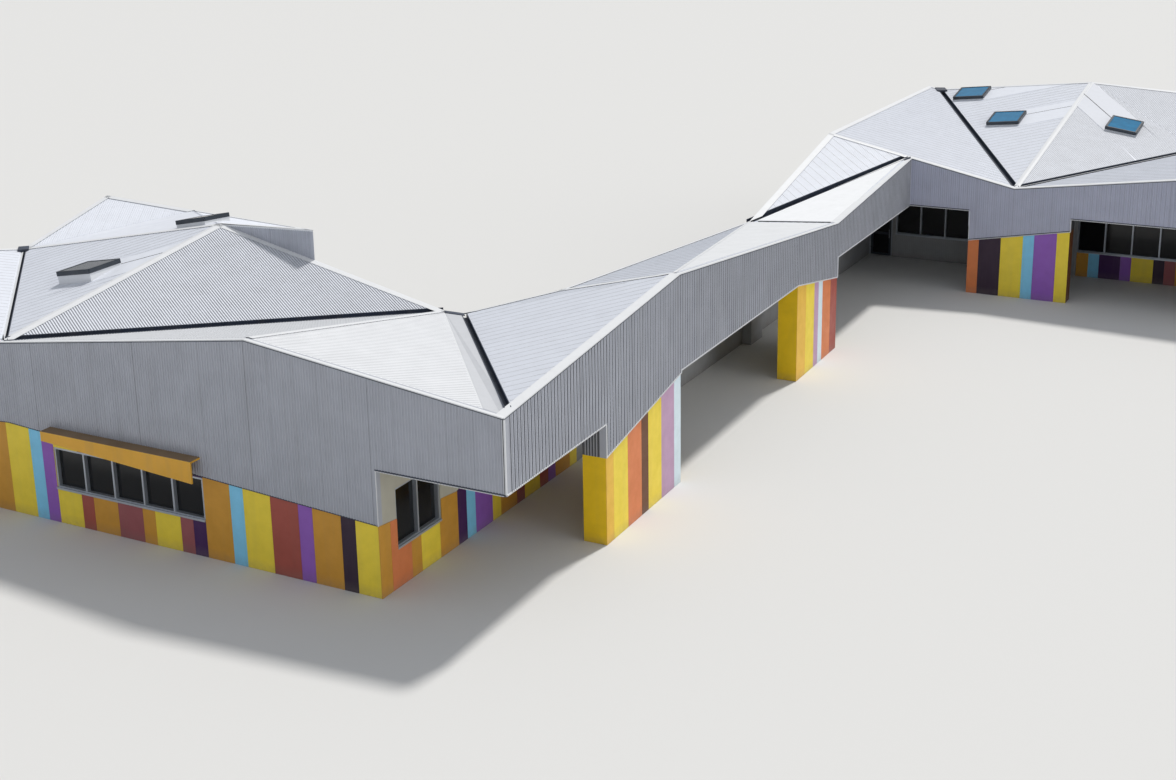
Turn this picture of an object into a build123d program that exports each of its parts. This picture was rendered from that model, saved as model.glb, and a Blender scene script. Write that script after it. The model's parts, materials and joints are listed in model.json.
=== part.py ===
from build123d import *
import os
from math import cos, hypot, radians, sin, tan

os.makedirs("parts", exist_ok=True)

# One real metre, in millimetres of this half-size model
M = 500.0

# Common thicknesses and gaps
wall = 0.24 * M
cladding = 0.20 * M
roof_depth = 0.25 * M
soffit_depth = 0.08 * M
floor_depth = 0.10 * M
panel_setback = 0.03 * M
pier_depth = 0.72 * M
glass_depth = 0.024 * M
frame_bar = 0.06 * M
frame_depth = 0.12 * M

# Ground plan, measured back from the front corner of the left pavilion
left_length = 22.70 * M
left_depth = 8.65 * M
rear_start = 8.30 * M
rear_turn = 13.40 * M
rear_depth = 14.50 * M
overhang = 3.78 * M
walk_angle = 1.0
facade_y = 34.35 * M
verandah_depth = 4.55 * M
right_length = 18.60 * M
right_room_depth = 10.30 * M

room_y = facade_y + verandah_depth
right_depth = room_y + right_room_depth

# Heights of the folded top edge of the walls
soffit_height = 3.48 * M
corner_height = 5.46 * M
front_peak_height = 6.39 * M
front_peak = 3.87 * M
front_low_height = 5.16 * M
front_low = 12.70 * M
walk_peak_height = 6.43 * M
walk_peak = 10.26 * M
walk_low_height = 4.80 * M
walk_low = 24.72 * M
facade_low_height = 4.56 * M
facade_low = 7.50 * M
facade_end_height = 6.08 * M

# Folds of the left roof
ridge_reach = 0.15 * M
ridge_line = left_depth + ridge_reach
apex_back = 12.00 * M
apex_height = 6.75 * M
west_corner_inset = 1.70 * M
end_corner_height = 4.60 * M
valley_height = 5.00 * M
sump_back = 3.54 * M
sump_width = 0.70 * M
sump_height = 4.85 * M
corner_gutter_start = 0.55 * M
valley_strip = 0.68 * M
rear_peak_depth = 13.00 * M
rear_peak_height = 6.06 * M
rear_fold_back = 17.40 * M
rear_fold_depth = 13.60 * M
rear_fold_height = 5.70 * M
rear_eave_height = 4.90 * M
upstand_height = 6.91 * M

# Folds of the walkway roof
walk_eave_back = 0.60 * M
walk_eave_peak = 10.70 * M
walk_eave_peak_height = 5.34 * M
walk_eave_low = 25.20 * M
walk_eave_low_back = 0.32 * M
walk_eave_low_height = 4.42 * M

# Folds of the right roof
right_eave_height = 6.27 * M
right_eave_back = 0.45 * M
valley_end = 0.10 * M
valley_end_height = 6.15 * M
hip_end = 7.50 * M
hip_end_height = 6.90 * M
front_valley_x = 13.30 * M
front_valley_inset = 6.00 * M
front_valley_height = 5.05 * M
valley_side_height = 5.20 * M
back_fold = 12.20 * M
back_fold_height = 6.60 * M
back_corner_height = 6.10 * M

gutter_width = 0.34 * M
valley_gutter_width = 0.26 * M
narrow_gutter_width = 0.16 * M
gutter_drop = 0.12 * M
gutter_floor = 0.06 * M

# Coloured panel line on the front of the left pavilion
panel_corner_height = 2.00 * M
panel_low_height = 2.77 * M

# Windows of the left pavilion
front_window_near = 5.66 * M
front_window_length = 5.40 * M
window_sill = 1.07 * M
front_window_head = 2.30 * M
front_panes = 5
side_window_start = 0.80 * M
side_window_length = 2.05 * M
side_window_head = 2.72 * M
side_panes = 2
awning_depth = 0.40 * M
awning_top = 2.90 * M
awning_short = 0.28 * M
awning_tall = 0.62 * M
awning_sheet = 0.05 * M

# Coloured wall piers of the walkway and the facade
pier_1_start = 5.38 * M
pier_1_end = 10.36 * M
pier_1_low = 2.53 * M
pier_1_high = 3.40 * M
pier_2_start = 20.48 * M
pier_2_end = 24.80 * M
pier_2_low = 2.72 * M
pier_3_start = 5.70 * M
pier_3_end = 9.80 * M
pier_3_low = 2.23 * M
pier_3_high = 2.97 * M
pier_4_start = 16.20 * M

# Box column inside the walkway
column_x = 0.36 * M
column_y = 23.78 * M
column_length = 1.12 * M

# Room wall behind the verandah
room_window_head = 2.75 * M
pane_width = 1.13 * M
first_window_start = 1.21 * M
first_panes = 4
second_window_start = 9.25 * M
second_panes = 6
door_opening = 1.07 * M
door_height = 2.10 * M
door_frame_bar = 0.06 * M
door_leaf_depth = 0.045 * M
door_gap = 0.012 * M
door_stile = 0.10 * M
door_rail_height = 1.04 * M
hinge_radius = 0.011 * M
hinge_pin_radius = 0.004 * M
hinge_fit = 0.0006 * M
hinge_play = 0.0006 * M
hinge_height = 0.045 * M
hinge_plate = 0.030 * M
hinge_plate_depth = 0.004 * M
hinge_count = 3

# Roof windows
skylight_rise = 0.16 * M
skylight_frame = 0.08 * M
skylight_kerb = 0.90 * M

# Grid lines: the origin is where the centre lines of the front wall and side wall cross
corner_x = wall / 2
front_y = -wall / 2


def at(x, y, z):
    """Point given from the outer front corner of the left pavilion."""
    return Vector(corner_x + x, front_y + y, z)


def along(value, start, start_height, end, end_height):
    """Height on a straight edge between two known heights."""
    return start_height + (end_height - start_height) * (value - start) / (end - start)


def height_on(points, x, y):
    """Height of the plane through three points at a place given from the corner."""
    a, b, c = points[:3]
    normal = (b - a).cross(c - a)
    return a.Z - (normal.X * (corner_x + x - a.X) + normal.Y * (front_y + y - a.Y)) / normal.Z


def facet(points, thickness, drop=0.0, mode=Mode.ADD):
    """Flat roof panel with upright edges; its top runs through the points, less the drop."""
    a, b, c = (point - Vector(0, 0, drop) for point in points[:3])
    normal = (b - a).cross(c - a).normalized()
    plane = Plane(origin=a, x_dir=b - a, z_dir=normal if normal.Z > 0 else -normal)
    local = [plane.to_local_coords(point - Vector(0, 0, drop)) for point in points]
    with BuildSketch(plane) as outline:
        with BuildLine():
            Polyline(*[(point.X, point.Y) for point in local], close=True)
        make_face()
    direction = (0, 0, -1) if thickness > 0 else (0, 0, 1)
    extrude(outline.sketch, amount=abs(thickness), dir=direction, mode=mode)


def upright(plane, points, thickness, mode=Mode.ADD):
    """Upright slab drawn on the given wall plane, going back behind it."""
    with BuildSketch(plane) as outline:
        with BuildLine():
            Polyline(*points, close=True)
        make_face()
    extrude(outline.sketch, amount=-thickness, mode=mode)


def box_between(low, high, mode=Mode.ADD):
    """Square block from one corner to the opposite one."""
    middle = (low + high) / 2
    with BuildSketch(Plane.XY.offset(low.Z)) as outline:
        with Locations((middle.X, middle.Y)):
            Rectangle(high.X - low.X, high.Y - low.Y)
    extrude(outline.sketch, amount=high.Z - low.Z, mode=mode)


def strip_points(start, end, width, extend=0.0):
    """Four corners of a level-sided strip centred on a line."""
    flat = Vector(end.X - start.X, end.Y - start.Y, 0).normalized()
    side = Vector(-flat.Y, flat.X, 0) * (width / 2)
    slope = (end.Z - start.Z) / Vector(end.X - start.X, end.Y - start.Y, 0).length
    reach = flat * extend
    rise = Vector(0, 0, slope * extend)
    near = start - reach - rise
    far = end + reach + rise
    return [near - side, far - side, far + side, near + side]


def trench(start, end, width):
    """Cut a gutter's width out of a roof panel."""
    outline = strip_points(start, end, width, width / 2)
    facet(outline, -tall, drop=2 * roof_depth, mode=Mode.SUBTRACT)


def channel(start, end, width):
    """Add the sunk floor of a box gutter."""
    facet(strip_points(start, end, width, width / 2), gutter_floor, drop=gutter_drop)


def keep(piece, name):
    """Name a finished piece and write it."""
    piece.part.label = name
    export_step(piece.part, f"parts/{name}.step")


tall = 12.0 * M

# Wall planes, each seen from outside with its x to the right and y up
front_plane = Plane(origin=at(0, 0, 0), x_dir=(1, 0, 0), z_dir=(0, -1, 0))
facade_plane = Plane(origin=at(0, facade_y, 0), x_dir=(1, 0, 0), z_dir=(0, -1, 0))
room_plane = Plane(origin=at(0, room_y, 0), x_dir=(1, 0, 0), z_dir=(0, -1, 0))
side_plane = Plane(origin=at(0, 0, 0), x_dir=(0, 1, 0), z_dir=(1, 0, 0))
lean = radians(walk_angle)
walk_out = Vector(cos(lean), sin(lean), 0)
walk_run = Vector(-sin(lean), cos(lean), 0)
walk_plane = Plane(origin=at(overhang, 0, 0), x_dir=walk_run, z_dir=walk_out)
walk_length = facade_y / cos(lean)


def walk_inner(y, height):
    """Point on the inner face of the walkway fascia."""
    return at(overhang - cladding / cos(lean) - y * tan(lean), y, height)


def inner_front(x, height):
    """Point on the inner face of the front cladding."""
    return at(x, cladding, height)


def front_top(x):
    """Height of the folded front edge of the left pavilion."""
    mirrored_peak = 2 * front_low - front_peak
    if x > -front_peak:
        return along(x, -front_peak, front_peak_height, overhang, corner_height)
    if x > -front_low:
        return along(x, -front_low, front_low_height, -front_peak, front_peak_height)
    return along(x, -mirrored_peak, front_peak_height, -front_low, front_low_height)


def walk_top(distance):
    """Height of the folded top edge of the walkway fascia."""
    if distance < walk_peak:
        return along(distance, 0, corner_height, walk_peak, walk_peak_height)
    if distance < walk_low:
        return along(distance, walk_peak, walk_peak_height, walk_low, walk_low_height)
    return along(distance, walk_low, walk_low_height, walk_length, meeting_height)


def facade_top(x):
    """Height of the folded top edge of the right pavilion's facade."""
    if x < facade_low:
        return along(x, meeting_x, meeting_height, facade_low, facade_low_height)
    return along(x, facade_low, facade_low_height, right_length, facade_end_height)


meeting_x = overhang - facade_y * tan(lean)
meeting_height = along(meeting_x, -right_eave_back, right_eave_height, facade_low, facade_low_height)
facade_left = meeting_x - cladding / cos(lean)

# Fold points of the left roof
left_low = inner_front(-front_low, front_low_height)
left_peak = inner_front(-front_peak, front_peak_height)
left_end_x = -left_length
far_peak = inner_front(left_end_x, front_top(left_end_x))
strip_x = overhang - valley_strip
corner_split = inner_front(strip_x, front_top(strip_x))
corner_in = walk_inner(cladding, walk_top(cladding))
corner_gutter = walk_inner(corner_gutter_start, walk_top(corner_gutter_start))
apex = at(-apex_back, ridge_line, apex_height)
rear_left_x = west_corner_inset - left_length
west_corner = at(rear_left_x, ridge_line, valley_height)
end_corner = at(left_end_x, ridge_line, end_corner_height)
sump_left = at(-sump_back, ridge_line, sump_height)
sump_right = at(-sump_back + sump_width, ridge_line, sump_height)
rear_peak = at(rear_left_x, rear_peak_depth, rear_peak_height)
rear_fold = at(-rear_fold_back, rear_fold_depth, rear_fold_height)
upstand_right = at(-rear_start, ridge_line, upstand_height)
rear_right = at(-rear_turn, rear_depth, rear_eave_height)
rear_left = at(rear_left_x, rear_depth, rear_eave_height)

# Fold points of the walkway roof
walk_peak_in = walk_inner(walk_peak * cos(lean), walk_peak_height)
walk_low_in = walk_inner(walk_low * cos(lean), walk_low_height)
eave_peak = at(-walk_eave_back, walk_eave_peak, walk_eave_peak_height)
eave_low = at(-walk_eave_low_back, walk_eave_low, walk_eave_low_height)

# Fold points of the right roof
facade_in_y = facade_y + cladding
low_in = at(facade_low, facade_in_y, facade_low_height)
end_in = at(right_length, facade_in_y, facade_end_height)
right_eave_rear = at(-right_eave_back, right_depth, right_eave_height)
valley_rear = at(valley_end, right_depth, valley_end_height)
hip_rear = at(hip_end, right_depth, hip_end_height)
front_valley_y = right_depth - front_valley_inset
valley_turn = at(front_valley_x, front_valley_y, front_valley_height)
valley_side = at(right_length, front_valley_y, valley_side_height)
fold_rear = at(back_fold, right_depth, back_fold_height)
corner_rear = at(right_length, right_depth, back_corner_height)
west_plane = (low_in, valley_rear, right_eave_rear)
meeting_in = at(facade_left, facade_y, height_on(west_plane, facade_left, facade_y))
meeting_notch = at(facade_left, facade_in_y, height_on(west_plane, facade_left, facade_in_y))
right_eave_front = at(-right_eave_back, facade_y, height_on(west_plane, -right_eave_back, facade_y))

left_front_panels = [
    (left_low, left_peak, sump_left),
    (left_peak, corner_split, sump_left),
    (corner_split, corner_in, sump_left),
    (corner_in, corner_gutter, sump_left),
    (corner_gutter, sump_right, sump_left),
]
left_pyramid = [(left_low, sump_left, apex), (left_low, apex, west_corner)]
left_end_panels = [(far_peak, left_low, west_corner), (far_peak, west_corner, end_corner)]
walk_panels = [
    (sump_right, corner_gutter, walk_peak_in),
    (sump_right, walk_peak_in, eave_peak),
    (eave_peak, walk_peak_in, eave_low),
    (walk_peak_in, walk_low_in, eave_low),
    (eave_low, walk_low_in, meeting_in),
    (eave_low, meeting_in, right_eave_front),
]
rear_panels = [
    (west_corner, apex, rear_fold),
    (apex, upstand_right, rear_fold),
    (west_corner, rear_fold, rear_peak),
    (rear_fold, upstand_right, rear_right),
    (rear_fold, rear_right, rear_left),
    (rear_peak, rear_fold, rear_left),
]
right_panels = [
    (low_in, valley_rear, right_eave_rear, right_eave_front, meeting_in, meeting_notch),
    (low_in, hip_rear, valley_rear),
    (low_in, valley_turn, hip_rear),
    (valley_turn, fold_rear, hip_rear),
    (low_in, end_in, valley_turn),
    (end_in, valley_side, valley_turn),
    (valley_turn, valley_side, corner_rear),
    (valley_turn, corner_rear, fold_rear),
]


def window_frame(plane, left, sill, width, height, panes):
    """Frame of a window with equal panes, drawn on its own plane."""
    with BuildSketch(plane) as outline:
        with Locations((left + width / 2, sill + height / 2)):
            Rectangle(width, height)
        clear = (width - (panes + 1) * frame_bar) / panes
        for pane in range(panes):
            middle = left + frame_bar + clear / 2 + pane * (clear + frame_bar)
            with Locations((middle, sill + height / 2)):
                Rectangle(clear, height - 2 * frame_bar, mode=Mode.SUBTRACT)
    extrude(outline.sketch, amount=-frame_depth)


def window_sheet(plane, left, sill, width, height):
    """Glass behind a window frame."""
    with BuildSketch(plane.offset(-frame_depth)) as outline:
        with Locations((left + width / 2, sill + height / 2)):
            Rectangle(width, height)
    extrude(outline.sketch, amount=-glass_depth)


def window_hole(plane, left, sill, width, height):
    """Opening cut right through a wall for a window."""
    with BuildSketch(plane.offset(wall)) as outline:
        with Locations((left + width / 2, sill + height / 2)):
            Rectangle(width, height)
    extrude(outline.sketch, amount=-3 * wall, mode=Mode.SUBTRACT)


def sloped_plane(centre, upward):
    """Plane through a point, with its x running along the building's x as seen from above."""
    return Plane(origin=centre, x_dir=Vector(0, 1, 0).cross(upward), z_dir=upward)


def tilted_window(x, y, height, slope_x, slope_y):
    """Glass plane of a roof window on its own tilted kerb."""
    return sloped_plane(at(x, y, height), Vector(-slope_x, -slope_y, 1).normalized())


def panel_window(points, share):
    """Glass plane of a roof window that lies along a panel, placed by shares of two sides."""
    a, b, c = points[:3]
    normal = (b - a).cross(c - a).normalized()
    centre = a + (b - a) * share[0] + (c - a) * share[1]
    return sloped_plane(centre, normal if normal.Z > 0 else -normal).offset(skylight_rise)


# The roof's own space, and the space below its underside that the walls fill
every_panel = left_front_panels + left_pyramid + left_end_panels + rear_panels + walk_panels + right_panels
with BuildPart() as whole_roof:
    for points in every_panel:
        facet(points, roof_depth)

with BuildPart() as under_roof:
    for points in every_panel:
        facet(points, tall, drop=roof_depth)

# Floors inside the rooms
inner_left = -left_length + wall
turned_wall = wall * hypot(rear_depth - ridge_line, rear_turn - rear_start) / (rear_depth - ridge_line)
rear_inner_turn = -turned_wall - along(rear_depth - wall, ridge_line, rear_start, rear_depth, rear_turn)
with BuildPart() as left_floor:
    box_between(at(inner_left, cladding, 0), at(-wall, left_depth - wall, floor_depth))
    rear_floor = [
        at(rear_left_x + wall, left_depth - wall, floor_depth),
        at(-rear_start - turned_wall, left_depth - wall, floor_depth),
        at(-rear_start - turned_wall, ridge_line, floor_depth),
        at(rear_inner_turn, rear_depth - wall, floor_depth),
        at(rear_left_x + wall, rear_depth - wall, floor_depth),
    ]
    facet(rear_floor, floor_depth)
keep(left_floor, "left_floor")

with BuildPart() as right_floor:
    box_between(at(0, room_y + wall, 0), at(right_length - wall, right_depth - wall, floor_depth))
keep(right_floor, "right_floor")

# Front of the left pavilion: coloured panel wall below, folded metal cladding above
panel_plane = front_plane.offset(-panel_setback)
far_window = 2 * front_low - front_window_near - front_window_length
panel_end_height = along(left_length, front_low, panel_low_height, 2 * front_low, panel_corner_height)
front_windows_at = [-front_window_near - front_window_length, -far_window - front_window_length]
front_window_height = front_window_head - window_sill
with BuildPart() as front_wall:
    upright(
        panel_plane,
        [
            (-left_length, 0),
            (0, 0),
            (0, panel_corner_height),
            (-front_low, panel_low_height),
            (-left_length, panel_end_height),
        ],
        cladding - panel_setback,
    )
    for left in front_windows_at:
        window_hole(panel_plane, left, window_sill, front_window_length, front_window_height)
keep(front_wall, "front_wall")

with BuildPart() as front_cladding:
    upright(
        front_plane,
        [
            (-left_length, panel_end_height),
            (-front_low, panel_low_height),
            (0, panel_corner_height),
            (0, soffit_height),
            (overhang, soffit_height),
            (overhang, corner_height),
            (-front_peak, front_peak_height),
            (-front_low, front_low_height),
            (-left_length, front_top(-left_length)),
        ],
        cladding,
    )
keep(front_cladding, "front_cladding")

# Folded metal hoods over the front windows, deeper in the face towards one end
with BuildPart() as awnings:
    for left in front_windows_at:
        right = left + front_window_length
        outer = front_plane.offset(awning_depth)
        tapered = [
            (left, awning_top),
            (left, awning_top - awning_short),
            (right, awning_top - awning_tall),
            (right, awning_top),
        ]
        upright(outer, tapered, awning_sheet)
        box_between(
            at(left, -awning_depth + awning_sheet, awning_top - awning_sheet),
            at(right, 0, awning_top),
        )
keep(awnings, "awnings")

# Side wall under the overhanging corner
side_window_height = side_window_head - window_sill
side_panel_plane = side_plane.offset(-panel_setback)
with BuildPart() as side_wall:
    box_between(at(-wall, cladding, 0), at(0, left_depth, 2 * corner_height))
    add(under_roof.part, mode=Mode.INTERSECT)
    window_hole(side_plane, side_window_start, window_sill, side_window_length, side_window_height)
keep(side_wall, "side_wall")

with BuildPart() as left_window_frames:
    for left in front_windows_at:
        window_frame(
            panel_plane, left, window_sill, front_window_length, front_window_height, front_panes
        )
    window_frame(
        side_panel_plane,
        side_window_start,
        window_sill,
        side_window_length,
        side_window_height,
        side_panes,
    )
keep(left_window_frames, "left_window_frames")

with BuildPart() as left_end_wall:
    box_between(at(-left_length, cladding, 0), at(inner_left, left_depth, 2 * corner_height))
    add(under_roof.part, mode=Mode.INTERSECT)
keep(left_end_wall, "left_end_wall")

with BuildPart() as left_back_wall:
    box_between(
        at(-rear_start - turned_wall, left_depth - wall, 0), at(-wall, left_depth, 2 * corner_height)
    )
    add(under_roof.part, mode=Mode.INTERSECT)
keep(left_back_wall, "left_back_wall")

with BuildPart() as rear_walls:
    box_between(at(inner_left, left_depth - wall, 0), at(rear_left_x, left_depth, 2 * corner_height))
    box_between(
        at(rear_left_x, left_depth - wall, 0), at(rear_left_x + wall, rear_depth, 2 * corner_height)
    )
    box_between(
        at(rear_left_x + wall, rear_depth - wall, 0), at(rear_inner_turn, rear_depth, 2 * corner_height)
    )
    turned = [
        at(-rear_start, left_depth, 2 * corner_height),
        at(-rear_start, ridge_line, 2 * corner_height),
        at(-rear_turn, rear_depth, 2 * corner_height),
        at(-rear_turn - turned_wall, rear_depth, 2 * corner_height),
        at(-rear_start - turned_wall, ridge_line, 2 * corner_height),
        at(-rear_start - turned_wall, left_depth, 2 * corner_height),
    ]
    facet(turned, 2 * corner_height)
    add(under_roof.part, mode=Mode.INTERSECT)
keep(rear_walls, "rear_walls")

# Ribbed upstand where the rear roof stands above the ridge
upstand_end = rear_start + wall / 2
upstand_end_height = along(upstand_end, apex_back, apex_height, sump_back, sump_height)
ridge_plane = Plane(origin=at(0, ridge_line, 0), x_dir=(1, 0, 0), z_dir=(0, -1, 0))
with BuildPart() as roof_upstand:
    upright(
        ridge_plane,
        [
            (-apex_back, apex_height - roof_depth),
            (-upstand_end, upstand_end_height - roof_depth),
            (-upstand_end, upstand_height),
            (-apex_back, upstand_height),
        ],
        wall,
    )
    add(under_roof.part, mode=Mode.INTERSECT)
    add(rear_walls.part, mode=Mode.SUBTRACT)
keep(roof_upstand, "roof_upstand")

# Walkway fascia: a folded metal face that dips over the two wall piers
with BuildPart() as walk_fascia:
    upright(
        walk_plane,
        [
            (0, soffit_height),
            (pier_1_start, soffit_height),
            (pier_1_start, pier_1_low),
            (pier_1_end, pier_1_high),
            (pier_1_end, soffit_height),
            (pier_2_start, soffit_height),
            (pier_2_end, pier_2_low),
            (pier_2_end, soffit_height),
            (walk_length + wall, soffit_height),
            (walk_length + wall, walk_top(walk_length + wall)),
            (walk_low, walk_low_height),
            (walk_peak, walk_peak_height),
            (0, corner_height),
        ],
        cladding,
    )
    box_between(at(0, -wall, 0), at(2 * overhang, cladding, tall), mode=Mode.SUBTRACT)
    box_between(at(0, facade_y, 0), at(2 * overhang, facade_y + 2 * wall, tall), mode=Mode.SUBTRACT)
keep(walk_fascia, "walk_fascia")

pier_plane = walk_plane.offset(-panel_setback)
with BuildPart() as walk_piers:
    upright(
        pier_plane,
        [(pier_1_start, 0), (pier_1_end, 0), (pier_1_end, pier_1_high), (pier_1_start, pier_1_low)],
        pier_depth - panel_setback,
    )
    upright(
        pier_plane,
        [(pier_2_start, 0), (pier_2_end, 0), (pier_2_end, pier_2_low), (pier_2_start, soffit_height)],
        pier_depth - panel_setback,
    )
keep(walk_piers, "walk_piers")

facade_pier_plane = facade_plane.offset(-panel_setback)
pier_4_high = pier_3_high
pier_4_full = pier_4_start + pier_3_end - pier_3_start
pier_4_end_height = along(right_length, pier_4_start, pier_4_high, pier_4_full, pier_3_low)
with BuildPart() as facade_pier:
    upright(
        facade_pier_plane,
        [(pier_3_start, 0), (pier_3_end, 0), (pier_3_end, pier_3_high), (pier_3_start, pier_3_low)],
        pier_depth - panel_setback,
    )
keep(facade_pier, "facade_pier")

with BuildPart() as end_pier:
    upright(
        facade_pier_plane,
        [
            (pier_4_start, 0),
            (right_length, 0),
            (right_length, pier_4_end_height),
            (pier_4_start, pier_4_high),
        ],
        pier_depth - panel_setback,
    )
    end_wall_low = at(right_length - wall, facade_in_y, 0)
    end_wall_high = at(right_length + wall, facade_y + 2 * pier_depth, tall)
    box_between(end_wall_low, end_wall_high, mode=Mode.SUBTRACT)
keep(end_pier, "end_pier")

# Metal infill that closes each pier to the ceiling behind the cladding
with BuildPart() as pier_infills:
    behind = walk_plane.offset(-cladding)
    upright(
        behind,
        [
            (pier_1_start, pier_1_low),
            (pier_1_end, pier_1_high),
            (pier_1_end, soffit_height),
            (pier_1_start, soffit_height),
        ],
        pier_depth - cladding,
    )
    upright(
        behind,
        [(pier_2_start, soffit_height), (pier_2_end, pier_2_low), (pier_2_end, soffit_height)],
        pier_depth - cladding,
    )
    behind = facade_plane.offset(-cladding)
    upright(
        behind,
        [
            (pier_3_start, pier_3_low),
            (pier_3_end, pier_3_high),
            (pier_3_end, soffit_height),
            (pier_3_start, soffit_height),
        ],
        pier_depth - cladding,
    )
    inner_end = right_length - wall
    upright(
        behind,
        [
            (pier_4_start, pier_4_high),
            (inner_end, along(inner_end, pier_4_start, pier_4_high, right_length, pier_4_end_height)),
            (inner_end, soffit_height),
            (pier_4_start, soffit_height),
        ],
        pier_depth - cladding,
    )
keep(pier_infills, "pier_infills")

# Facade cladding of the right pavilion, dipping over its wall pier
with BuildPart() as facade_cladding:
    upright(
        facade_plane,
        [
            (facade_left, soffit_height),
            (pier_3_start, soffit_height),
            (pier_3_start, pier_3_low),
            (pier_3_end, pier_3_high),
            (pier_3_end, soffit_height),
            (pier_4_start, soffit_height),
            (pier_4_start, pier_4_high),
            (right_length, pier_4_end_height),
            (right_length, facade_end_height),
            (facade_low, facade_low_height),
            (facade_left, facade_top(facade_left)),
        ],
        cladding,
    )
keep(facade_cladding, "facade_cladding")

# Ceilings of the walkway and the verandah
with BuildPart() as walk_soffit:
    with BuildSketch(Plane.XY.offset(soffit_height)) as outline:
        with BuildLine():
            Polyline(
                (corner_x, front_y + cladding),
                (corner_in.X, corner_in.Y),
                (meeting_in.X, meeting_in.Y),
                (corner_x, front_y + facade_y),
                close=True,
            )
        make_face()
    extrude(amount=soffit_depth)
keep(walk_soffit, "walk_soffit")

with BuildPart() as verandah_soffit:
    low = at(0, facade_y, 0)
    high = at(right_length - wall, room_y, 0)
    with BuildSketch(Plane.XY.offset(soffit_height)) as outline:
        with BuildLine():
            Polyline(
                (low.X, low.Y),
                (corner_x + facade_left, low.Y),
                (corner_x + facade_left, low.Y + cladding),
                (high.X, low.Y + cladding),
                (high.X, high.Y),
                (low.X, high.Y),
                close=True,
            )
        make_face()
    extrude(amount=soffit_depth)
keep(verandah_soffit, "verandah_soffit")

# Plain party wall along the back of the walkway, with a box column against it
with BuildPart() as party_wall:
    box_between(at(-wall, left_depth, 0), at(0, room_y, 2 * corner_height))
    add(under_roof.part, mode=Mode.INTERSECT)
keep(party_wall, "party_wall")

with BuildPart() as box_column:
    box_between(at(0, column_y, 0), at(column_x, column_y + column_length, soffit_height))
keep(box_column, "box_column")

# Room wall behind the verandah, with its door at the near end
first_window = (first_window_start, first_panes * pane_width)
second_window = (second_window_start, second_panes * pane_width)
room_windows = [first_window, second_window]
room_window_height = room_window_head - window_sill
room_panel_plane = room_plane.offset(-panel_setback)
with BuildPart() as room_wall:
    box_between(at(door_opening, room_y, 0), at(right_length - wall, room_y + wall, 2 * corner_height))
    add(under_roof.part, mode=Mode.INTERSECT)
    for start, width in room_windows:
        window_hole(room_plane, start, window_sill, width, room_window_height)
keep(room_wall, "room_wall")

with BuildPart() as over_door_wall:
    frame_top = door_height + door_frame_bar
    box_between(at(0, room_y, frame_top), at(door_opening, room_y + wall, 2 * corner_height))
    add(under_roof.part, mode=Mode.INTERSECT)
keep(over_door_wall, "over_door_wall")

with BuildPart() as right_side_wall:
    box_between(at(-wall, room_y, 0), at(0, right_depth, 2 * corner_height))
    add(under_roof.part, mode=Mode.INTERSECT)
keep(right_side_wall, "right_side_wall")

back_plane = Plane(origin=at(0, right_depth, 0), x_dir=(-1, 0, 0), z_dir=(0, 1, 0))
back_inner_plane = back_plane.offset(-panel_setback)
with BuildPart() as right_back_wall:
    box_between(at(0, right_depth - wall, 0), at(right_length - wall, right_depth, 2 * corner_height))
    add(under_roof.part, mode=Mode.INTERSECT)
    for start, width in room_windows:
        window_hole(back_plane, -start - width, window_sill, width, room_window_height)
keep(right_back_wall, "right_back_wall")

with BuildPart() as right_window_frames:
    for start, width in room_windows:
        panes = round(width / pane_width)
        window_frame(room_panel_plane, start, window_sill, width, room_window_height, panes)
        window_frame(back_inner_plane, -start - width, window_sill, width, room_window_height, panes)
keep(right_window_frames, "right_window_frames")

with BuildPart() as right_end_wall:
    box_between(at(right_length - wall, facade_in_y, 0), at(right_length, right_depth, 2 * corner_height))
    add(under_roof.part, mode=Mode.INTERSECT)
keep(right_end_wall, "right_end_wall")

# All fixed window glass
with BuildPart() as window_glass:
    for left in front_windows_at:
        window_sheet(panel_plane, left, window_sill, front_window_length, front_window_height)
    window_sheet(
        side_panel_plane, side_window_start, window_sill, side_window_length, side_window_height
    )
    for start, width in room_windows:
        window_sheet(room_panel_plane, start, window_sill, width, room_window_height)
        window_sheet(back_inner_plane, -start - width, window_sill, width, room_window_height)
keep(window_glass, "window_glass")

# Entrance door: frame, hinged leaf and its two panes
door_plane = room_panel_plane
leaf_low = 2 * door_gap
leaf_left = door_frame_bar + door_gap
leaf_right = door_opening - door_frame_bar - door_gap
leaf_top = door_height - door_gap
leaf_width = leaf_right - leaf_left
leaf_height = leaf_top - leaf_low
lower_pane = door_rail_height - leaf_low - 1.5 * door_stile
upper_pane = leaf_top - door_rail_height - 1.5 * door_stile
pane_width_door = leaf_width - 2 * door_stile
panes_at = [
    (leaf_low + door_stile + lower_pane / 2, lower_pane),
    (door_rail_height + door_stile / 2 + upper_pane / 2, upper_pane),
]
hinge_x = leaf_left - door_gap / 2
hinge_y = door_plane.origin.Y - hinge_radius
hinge_heights = [leaf_low + leaf_height * (row + 0.5) / hinge_count for row in range(hinge_count)]


def hinge_plate_at(left, height, length):
    """Flat wing of a hinge on the outer face of the leaf or the frame."""
    with BuildSketch(door_plane) as outline:
        with Locations((left + hinge_plate / 2, height)):
            Rectangle(hinge_plate, length)
    extrude(outline.sketch, amount=hinge_plate_depth)


def hinge_round(height, length, radius, hole=0.0):
    """Knuckle or pin of a hinge on the door's turning line."""
    with BuildSketch(Plane.XY.offset(height - length / 2)) as outline:
        with Locations((corner_x + hinge_x, hinge_y)):
            Circle(radius)
            if hole:
                Circle(hole, mode=Mode.SUBTRACT)
    extrude(outline.sketch, amount=length)


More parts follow.
